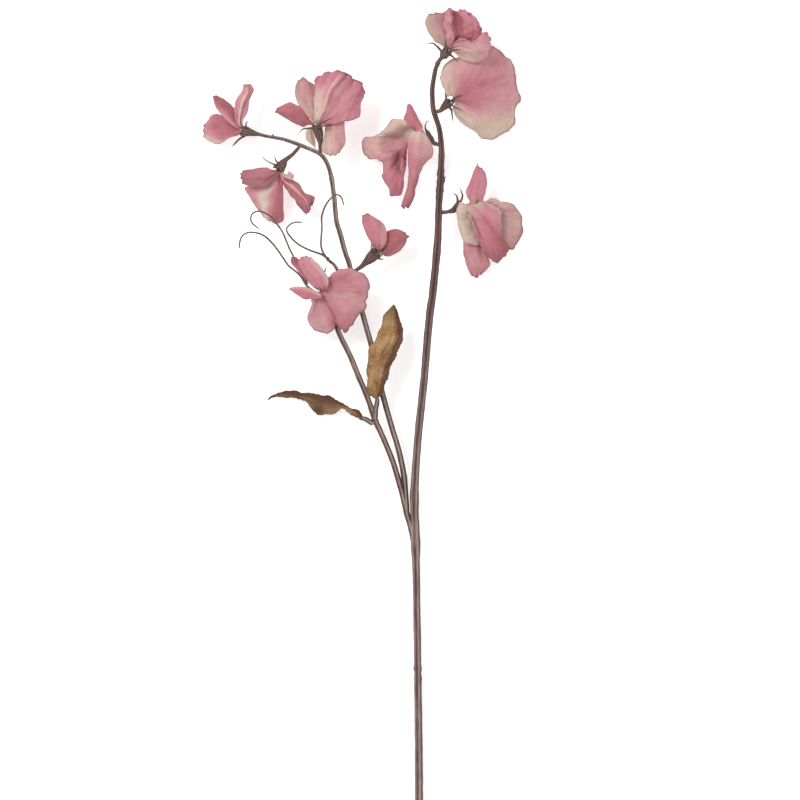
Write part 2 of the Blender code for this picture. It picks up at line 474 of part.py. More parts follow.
def new_collection(name):
    collection = bpy.data.collections.new(name)
    bpy.context.scene.collection.children.link(collection)
    return collection


def finish_for(name, kind):
    """A material of the node's own, with the colour and roughness of its kind."""
    colour, roughness = FINISHES[kind]
    material = bpy.data.materials.new(name)
    material.use_nodes = True
    shader = material.node_tree.nodes["Principled BSDF"]
    shader.inputs["Base Color"].default_value = (*colour, 1)
    shader.inputs["Roughness"].default_value = roughness
    shader.inputs["Metallic"].default_value = 0
    return material


def catmull_rom(points, t):
    """The point at t (0 to 1) of a smooth line through points, which may hold any number of values each."""
    last = len(points) - 1
    at = min(max(t, 0), 1) * last
    i = min(int(at), last - 1)
    f = at - i
    b, c = points[i], points[i + 1]
    a = points[i - 1] if i else [2 * p - q for p, q in zip(b, c)]
    d = points[i + 2] if i + 2 <= last else [2 * q - p for p, q in zip(b, c)]
    return [
        0.5 * (2 * q + (r - p) * f + (2 * p - 5 * q + 4 * r - s) * f**2 + (3 * q - p - 3 * r + s) * f**3)
        for p, q, r, s in zip(a, b, c, d)
    ]


def length_of(route):
    return sum(math.dist(a[:3], b[:3]) for a, b in zip(route, route[1:]))


def tube(name, route, step, sides):
    """A curve object of round section through a route of (x, y, z, radius) points."""
    curve = bpy.data.curves.new(name, "CURVE")
    curve.dimensions = "3D"
    curve.bevel_depth = MM
    curve.bevel_resolution = sides
    curve.use_fill_caps = True
    pieces = max(2, round(length_of(route) / step))
    spline = curve.splines.new("POLY")
    spline.points.add(pieces)
    for i, point in enumerate(spline.points):
        x, y, z, radius = catmull_rom(route, i / pieces)
        point.co = (x * MM, y * MM, z * DEPTH * MM, 1)
        point.radius = radius
    obj = bpy.data.objects.new(name, curve)
    bpy.context.scene.collection.objects.link(obj)
    return obj


def as_mesh(curve_object, name):
    """The curve object made into a closed mesh object of that name; the curve is removed."""
    bpy.context.view_layer.update()
    graph = bpy.context.evaluated_depsgraph_get()
    mesh = bpy.data.meshes.new_from_object(curve_object.evaluated_get(graph))
    shape = bmesh.new()
    shape.from_mesh(mesh)
    bmesh.ops.remove_doubles(shape, verts=shape.verts, dist=0.00001)
    bmesh.ops.recalc_face_normals(shape, faces=shape.faces)
    shape.to_mesh(mesh)
    shape.free()
    obj = bpy.data.objects.new(name, mesh)
    obj.matrix_world = curve_object.matrix_world
    bpy.data.objects.remove(curve_object)
    return obj


def sheet(name, cage, thickness):
    """A thin shell over a grid that follows the cage's rows and columns smoothly."""
    across = max(6, min(20, len(cage[0]) + 1))
    along = 6 if len(cage[0]) > 6 else max(6, 2 * len(cage) - 3)
    shape = bmesh.new()
    bmesh.ops.create_grid(shape, x_segments=across, y_segments=along, size=0.5)
    for vert in shape.verts:
        u, v = vert.co.x + 0.5, vert.co.y + 0.5
        column = [catmull_rom([list(p) for p in row], u) for row in cage]
        x, y, z = catmull_rom(column, v)
        vert.co = Vector((x, y, z * DEPTH)) * MM
    mesh = bpy.data.meshes.new(name)
    shape.to_mesh(mesh)
    shape.free()
    mesh.shade_smooth()
    obj = bpy.data.objects.new(name, mesh)
    solidify = obj.modifiers.new("thickness", "SOLIDIFY")
    solidify.thickness = thickness * MM
    solidify.offset = 0
    solidify.use_even_offset = False
    return obj


def shifted(points, place):
    return [(p[0] + place[0], p[1] + place[1], *p[2:]) for p in points]


def add_stem(name, route, parts, kind, step, sides):
    obj = as_mesh(tube(name + "_line", route, step, sides), name)
    parts.objects.link(obj)
    obj.data.shade_smooth()
    obj.data.set_sharp_from_angle(angle=math.radians(50))
    obj.data.materials.append(finish_for(name, kind))
    return obj


def add_calyx(name, blossom, parts, cutters):
    """The stalk and cup with the sepals joined on by Boolean unions."""
    place = blossom["place"]
    calyx = add_stem(name, shifted(blossom["cup"], place), parts, "calyx", 3.0, STEM_SIDES)
    inside = (*catmull_rom(blossom["cup"], SEPAL_ROOT)[:3], SEPAL_ROOT_RADIUS)
    for i, route in enumerate(blossom["sepals"]):
        sepal_name = f"{name}_sepal_{i + 1}"
        line = tube(sepal_name + "_line", shifted([inside, *route], place), SEPAL_STEP, THIN_SIDES)
        sepal = as_mesh(line, sepal_name)
        cutters.objects.link(sepal)
        sepal.hide_render = True
        sepal.display_type = "WIRE"
        union = calyx.modifiers.new(f"sepal_{i + 1}", "BOOLEAN")
        union.operation = "UNION"
        union.object = sepal


def add_sheet(name, cage, parts, kind, thickness):
    obj = sheet(name, cage, thickness)
    parts.objects.link(obj)
    obj.data.materials.append(finish_for(name, kind))


def build():
    clear_scene()
    parts = new_collection("sweet_pea_spray")
    cutters = new_collection("cutters")
    add_stem("main_stem", MAIN_STEM, parts, "stem", STEM_STEP, STEM_SIDES)
    add_stem("left_branch", LEFT_BRANCH, parts, "stem", STEM_STEP, STEM_SIDES)
    add_stem("arching_branch", ARCHING_BRANCH, parts, "stem", STEM_STEP, STEM_SIDES)
    for name, route in TENDRILS.items():
        add_stem(name, route, parts, "tendril", TENDRIL_STEP, THIN_SIDES)
    for name, route in LEAF_STALKS.items():
        add_stem(name, route, parts, "stem", SEPAL_STEP, THIN_SIDES)
    for name, cage in LEAVES.items():
        add_sheet(name + "_blade", cage, parts, "leaf", LEAF_THICKNESS)
    for name, blossom in BLOSSOMS.items():
        add_calyx(name + "_calyx", blossom, parts, cutters)
        for petal, cage in blossom["petals"].items():
            node = f"{name}_{petal}"
            kind = "pale_petal" if node in PALE_PETALS else "petal"
            moved = [shifted(row, blossom["place"]) for row in cage]
            add_sheet(node, moved, parts, kind, PETAL_THICKNESS)


build()
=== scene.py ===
"""The looks of a cut sweet pea spray that lies on a pale surface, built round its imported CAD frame.

Every petal, stem, calyx, tendril and leaf is a finished mesh in place of its CAD node: petals and leaves
are ruffled sheets over smooth cages, stems are ribbed sweeps, and calyxes are ribbed bells with pointed
sepals. Tables are in millimetres, with z above the surface before DEPTH multiplies it.
"""

import math
from collections import namedtuple

import bpy
import numpy as np
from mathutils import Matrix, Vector


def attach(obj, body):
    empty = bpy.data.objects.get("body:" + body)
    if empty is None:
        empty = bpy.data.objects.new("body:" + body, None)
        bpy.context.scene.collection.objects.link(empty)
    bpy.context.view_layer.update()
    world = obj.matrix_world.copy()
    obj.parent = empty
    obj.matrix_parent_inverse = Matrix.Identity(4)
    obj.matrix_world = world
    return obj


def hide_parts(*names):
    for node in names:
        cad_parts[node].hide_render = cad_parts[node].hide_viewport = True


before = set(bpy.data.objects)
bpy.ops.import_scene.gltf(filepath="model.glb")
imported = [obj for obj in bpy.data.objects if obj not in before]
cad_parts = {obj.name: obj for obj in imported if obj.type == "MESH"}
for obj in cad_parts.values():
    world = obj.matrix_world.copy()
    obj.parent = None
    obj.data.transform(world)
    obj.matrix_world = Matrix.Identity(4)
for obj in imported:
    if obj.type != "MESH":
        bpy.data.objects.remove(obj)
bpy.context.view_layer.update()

MM = 0.001
DEPTH = 1.4  # the same height factor as the CAD part
PETAL_CELL = 0.85  # spacing of a petal's mesh, mm
PETAL_SKIN = 0.36  # thickness of a petal, mm
PETAL_LOWEST = 0.25  # the least height of a petal's middle surface above the floor, mm
LEAF_CELL = (0.45, 0.6)  # spacing of a leaf's mesh across and along it, mm
LEAF_SKIN = 0.4
LEAF_LOWEST = 0.3
CLAW_REACH = 0.3  # where a petal's claw starts, as a share of the way from the calyx mouth to its first row
SEPAL_ROOT = 0.86  # how far along the cup a sepal starts, on the cup's own middle line
SEPAL_ROOT_WIDTH = 1.3
SHOWN = 0.6  # how much of the world the camera shows across, m

# Routes: points (x, y, z, radius) along the middle of each stem.
MAIN_STEM = [
    (42.3, -300, 2.15, 3), (42, -256, 2.9, 2.9), (41.5, -213, 3.9, 2.8), (40.5, -141, 5.8, 2.7),
    (39.6, -98, 7.4, 2.9), (38.9, -65, 9, 2.9), (41.6, -22, 11, 2.8), (46.1, 21, 13.5, 2.8),
    (50, 66, 16, 2.8), (52.9, 88, 17.5, 2.8), (56.3, 124, 20, 2.7), (57.3, 152, 21.5, 2.4),
    (58.6, 172, 22.5, 2.4), (59.3, 190, 23.5, 2.1), (58.9, 200, 24, 2), (57.4, 210, 24.5, 1.9),
    (54.4, 219.5, 25, 1.9), (52.9, 226, 25, 1.8), (52.4, 239, 25.5, 1.7), (54.6, 253, 26, 1.6),
    (56.9, 259, 26.2, 1.7),
]
LEFT_BRANCH = [
    (33.6, -80.5, 8.6, 2), (28.9, -61.5, 9.2, 2), (22.9, -41, 10, 2), (14.3, -20, 11, 2),
    (9.8, -10, 11.5, 2), (3.9, 7, 12.2, 2), (-2.8, 23, 13, 2), (-9.4, 39, 14, 2), (-18.4, 58, 15, 1.9),
    (-22, 74, 15.8, 1.8), (-21.6, 89, 16.4, 1.6), (-18.6, 101, 17, 1.4), (-21, 107, 17, 1.2),
    (-24.6, 110.3, 17, 1.2),
]
ARCHING_BRANCH = [
    (31.6, -56, 9, 2), (30.4, -47, 9, 2), (27.2, -32, 9.5, 2), (21.2, -12, 10.5, 2), (15.1, 10, 11.5, 2),
    (6.8, 46, 13, 2), (1, 67, 14, 1.9), (-9.4, 106, 16, 1.8), (-12.8, 116, 17, 1.8), (-16.6, 130, 18, 1.8),
    (-19.7, 141, 18.5, 1.8), (-21.2, 157, 19, 1.8), (-23, 170, 20, 1.7), (-24.9, 179, 20.5, 1.7),
    (-28.5, 187, 21, 1.7), (-33.1, 191.3, 21, 1.7), (-40.3, 194.6, 21, 1.6), (-49.4, 198.3, 21, 1.6),
    (-60.4, 201.9, 20.5, 1.5), (-71.2, 203.8, 20, 1.4), (-77.8, 205.4, 20, 1.4),
]
TENDRILS = {
    "tendril_short_curl": [
        (-27.3, 113, 18.6, 0.9), (-31.5, 115.5, 19.5, 0.8), (-39.9, 118.5, 21, 0.7),
        (-47.9, 122.6, 22.5, 0.7), (-54, 128.3, 23.5, 0.7), (-57, 133.5, 24, 0.6), (-55.3, 136.7, 24, 0.6),
        (-51.4, 139, 24, 0.6), (-45.6, 139.3, 24, 0.5),
    ],
    "tendril_over_arch": [
        (-27, 112.4, 21.4, 0.9), (-30, 117.3, 22.5, 0.8), (-31.2, 123.3, 23.5, 0.7), (-30.5, 135, 25, 0.7),
        (-30.5, 143.3, 26, 0.7), (-27.8, 151.5, 27, 0.7), (-23.2, 157.5, 27, 0.7), (-19.1, 159.8, 27, 0.6),
        (-15.8, 157.5, 26.5, 0.6), (-14.1, 152.3, 26, 0.5),
    ],
    "tendril_long_hook": [
        (-25, 85.5, 16, 0.9), (-33, 86, 15, 0.9), (-41.3, 91.2, 14.5, 0.8), (-46.6, 99.2, 15, 0.8),
        (-52, 103.9, 16, 0.7), (-56, 107.3, 17, 0.7), (-60, 113.3, 18, 0.7), (-65.3, 120.8, 19, 0.7),
        (-70.7, 126.8, 20, 0.7), (-75.4, 130.1, 20, 0.7), (-80.8, 131.7, 20, 0.6), (-86.1, 131.7, 19, 0.6),
        (-90.2, 129.4, 18, 0.6), (-92.2, 124.7, 17, 0.6), (-92.3, 120.3, 16, 0.5),
    ],
    "tendril_looped": [
        (-42.6, 95.2, 17.2, 0.8), (-46.9, 103.5, 20, 0.7), (-52, 114, 24, 0.7), (-54.7, 119.3, 26, 0.7),
        (-57.4, 126, 27.5, 0.7), (-60, 132, 28, 0.7), (-64.1, 138, 28, 0.7), (-68, 142.7, 28, 0.7),
        (-73.4, 146.4, 27, 0.6), (-78.1, 147.5, 26, 0.6), (-82.1, 146.1, 25, 0.6),
        (-83.8, 142.7, 24.5, 0.6), (-82.9, 138.8, 24, 0.6), (-78.1, 134.6, 24, 0.5),
    ],
}
LEAF_STALKS = {
    "upright_leaf_stalk": [
        (9.6, -5.2, 15, 1.8), (9.9, -1, 15.8, 1.7), (10.7, 3, 16.6, 1.7), (11.2, 6.6, 17.4, 1.6),
    ],
    "drooping_leaf_stalk": [(5.4, -10.3, 12.6, 1.8), (3.2, -8.9, 12.2, 1.7), (0.9, -7.9, 11.6, 1.6)],
}

# Cages: rows of points from the leaf's stalk to its tip, each row from one edge to the other.
LEAVES = {
    "upright_leaf": [
        [(8.5, 8.3, 17.7), (10.5, 8.8, 19), (12, 10, 17.7)],
        [(3.6, 14, 19), (11, 17, 22), (15.2, 17, 18.5)], [(4, 24, 19), (12, 27, 24), (18, 26, 19)],
        [(3.4, 31, 20), (14, 37.5, 26), (22, 36, 20)], [(5.5, 44, 20), (16, 44, 26), (25, 44, 20)],
        [(10, 52, 20), (20.5, 52, 26), (28, 52.5, 20)], [(13.5, 60, 20), (20, 60, 25), (28, 58.5, 20)],
        [(16, 69, 21), (21.4, 70, 24), (26.4, 68, 21)],
        [(22, 76.4, 22), (23.4, 77.6, 22.5), (24.6, 76.4, 22)],
    ],
    "drooping_leaf": [
        [(-0.8, -8.8, 10.5), (-0.6, -7.4, 11.2), (-0.2, -6.2, 10.8)],
        [(-8, -4.6, 8), (-7, -3, 11), (-5.5, -1.8, 9)], [(-15, -1.5, 7), (-14, 0.5, 11), (-12, 1.3, 9)],
        [(-22.5, -4.2, 4), (-22.5, 2.2, 10.5), (-22, 5.8, 8)],
        [(-31, -4.2, 3), (-30, 3.5, 10), (-29, 8, 7)], [(-39.5, 1.2, 4), (-37, 6, 9.5), (-36, 9.8, 7)],
        [(-45, 6.5, 5), (-45, 8.4, 8), (-45, 10.3, 6.5)], [(-56, 8, 4), (-56, 9.6, 6), (-56, 11, 5)],
        [(-66, 8, 2.5), (-66.5, 9, 3.2), (-66.8, 9.8, 2.8)],
        [(-71.3, 5.8, 2), (-71.6, 6.4, 2.3), (-71, 7, 2.2)],
    ],
}


def fan(base, rim, rings):
    """Cage rows that spread from a short base edge to a rim. A ring is (share of the way out, lift)."""
    left, right = Vector(base[0]), Vector(base[1])
    last = len(rim) - 1
    start = [left.lerp(right, i / last) for i in range(last + 1)]
    rows = [start]
    for share, lift in rings:
        rows.append([a.lerp(Vector(b), share) + Vector((0, 0, lift)) for a, b in zip(start, rim)])
    return rows + [[Vector(p) for p in rim]]


# Blossoms: where each one sits (x, y), its stalk and cup (x, y, z, radius), and its sepals (x, y, z, half
# width). These, and the cages of its petals, are measured from the blossom's own place in x and y.
BLOSSOMS = {
    "top": (
        (73.1, 276),
        [(-15.6, -15.8, 26.6, 1.6), (-14.2, -14, 27, 1.5), (-12.3, -11.8, 27.5, 3), (-10, -9, 28, 3.8)],
        [
            [
                (-12.5, -10.5, 28, 1.6), (-17.4, -4.8, 30, 1.2), (-21.5, -2.9, 30, 0.8),
                (-26.8, -4.8, 28, 0.3),
            ],
            [(-9, -10.5, 28, 1.6), (-5, -13.2, 25.5, 1), (-0.8, -16.9, 24, 0.4)],
            [(-10.5, -8.5, 31, 1.6), (-10.8, -4.5, 36.5, 1.5), (-10.7, 1, 37.5, 0.4)],
            [(-7.8, -9, 31, 1.4), (-3.5, -8, 36.5, 1), (2.7, -8.2, 37.5, 0.4)],
        ],
    ),
    "back_facing": (
        (88.1, 238.5),
        [(-31.6, -16.2, 25, 1.4), (-29.5, -15.4, 25, 1.6), (-27, -12.8, 25.2, 2.4), (-23.4, -9, 25.5, 4)],
        [
            [(-25, -9.5, 28.5, 1.6), (-25.8, -5.5, 31, 1.2), (-26, -1.5, 31.5, 0.4)],
            [(-23.5, -12, 25, 1.6), (-21, -17, 23, 1.1), (-20, -26, 19, 0.4)],
            [(-22.5, -9, 28.5, 1.4), (-18, -6.5, 32, 1.1), (-12.3, -4.5, 34.5, 0.4)],
            [(-22, -11, 28.8, 1.1), (-17.5, -14, 30.5, 0.7), (-11, -16.6, 30, 0.3)],
        ],
    ),
    "middle": (
        (28.1, 193.5),
        [(28, 4.3, 23.4, 1.4), (25.2, 5.4, 23.4, 1.7), (22.5, 8.5, 23.6, 2.3), (19.4, 11.6, 24, 3.6)],
        [[(20, 13.5, 24, 1.4), (18.8, 17.6, 24.8, 0.8), (20.6, 21, 24.4, 0.6), (24.2, 22.6, 23, 0.3)]],
    ),
    "lower_right": (
        (95.6, 141),
        [(-34.9, 5.9, 20.3, 1.5), (-31.5, 6.3, 19.5, 1.4), (-27.5, 7.6, 17.5, 2), (-23, 11.2, 15, 3.4)],
        [
            [(-22.5, 13, 16, 1.4), (-20.5, 19, 17.5, 1), (-23.4, 25.7, 18, 0.4)],
            [(-24.2, 12.5, 16, 1.4), (-24.8, 17.6, 17.5, 1), (-28.8, 20.3, 18, 0.4)],
        ],
    ),
    "leftmost": (
        (-99.4, 219.8),
        [(21.2, -14.3, 20, 1.5), (17.5, -13.6, 20, 2.2), (13, -12.6, 19.8, 3.2), (9.4, -11.8, 19.5, 3.8)],
        [
            [(12, -14.5, 18, 1.6), (7, -17.5, 16, 1.3), (3.5, -21, 14, 1.1), (1, -24.8, 12.5, 0.4)],
            [(12.5, -10.5, 21, 1.3), (12, -7, 22.5, 0.9), (13.5, -4, 22, 0.4)],
        ],
    ),
    "upper_left": (
        (-24.4, 223.5),
        [(-7.2, -28.8, 22.8, 1.5), (-7.3, -24.5, 24, 1.8), (-8.2, -19, 25, 3), (-9.9, -12, 26, 4)],
        [
            [
                (-12, -13.5, 25, 1.3), (-16.5, -13.8, 23.5, 1), (-21, -14.5, 21, 0.7),
                (-25.5, -20.5, 18, 0.3),
            ],
            [(-8, -11.5, 31, 1.2), (-3, -8.5, 35, 0.8), (4.5, -5.5, 35.5, 0.3)],
            [(-7.6, -13, 30, 1.2), (-1.5, -11.8, 34, 0.7), (2.5, -10, 34.5, 0.3)],
        ],
    ),
    "under_arch": (
        (-65.6, 163.5),
        [
            (16.9, 31, 20.6, 1.3), (12.8, 26.5, 20.5, 1.4), (8.3, 23, 21, 1.8), (5.6, 19.4, 21.5, 3.2),
            (2.6, 15.6, 22, 4.6),
        ],
        [
            [(1.5, 18.5, 24, 1.2), (-4, 20.5, 26, 0.8), (-8, 23.5, 26.5, 0.6), (-10.5, 27.5, 26, 0.3)],
            [(3, 19.5, 25, 1.2), (0.5, 22.5, 27.5, 0.8), (-0.6, 27, 28, 0.3)],
        ],
    ),
    "bud": (
        (16.9, 126),
        [
            (-22.6, -23, 17.2, 1.3), (-18, -20, 17.2, 1.6), (-14.4, -16.6, 17.6, 2.4), (-9.6, -12.2, 18, 4),
            (-6.2, -9.2, 18.5, 4.6),
        ],
        [
            [(-9.5, -9.4, 22, 1.3), (-10.2, -6, 24.8, 0.9), (-10, -2.6, 26, 0.3)],
            [(-7, -11, 23.5, 1.1), (-4.6, -8.2, 26, 0.8), (-3.2, -5, 27, 0.3)],
            [(-5.5, -13, 19, 1.4), (-2.6, -14.6, 20, 0.9), (-0.2, -13.8, 20.4, 0.4)],
        ],
    ),
    "front": (
        (-20.6, 84.8),
        [(-4.6, 0.6, 18.2, 1.3), (-6.2, 1.4, 18.8, 1.8), (-8.2, 2.4, 19.6, 2.6), (-9.8, 3.1, 20.4, 3.2)],
        [[(-8.8, 5, 19.6, 1.4), (-8.5, 12, 20, 1.1), (-8, 18, 20, 0.9), (-5.1, 22.3, 20.2, 0.4)]],
    ),
}

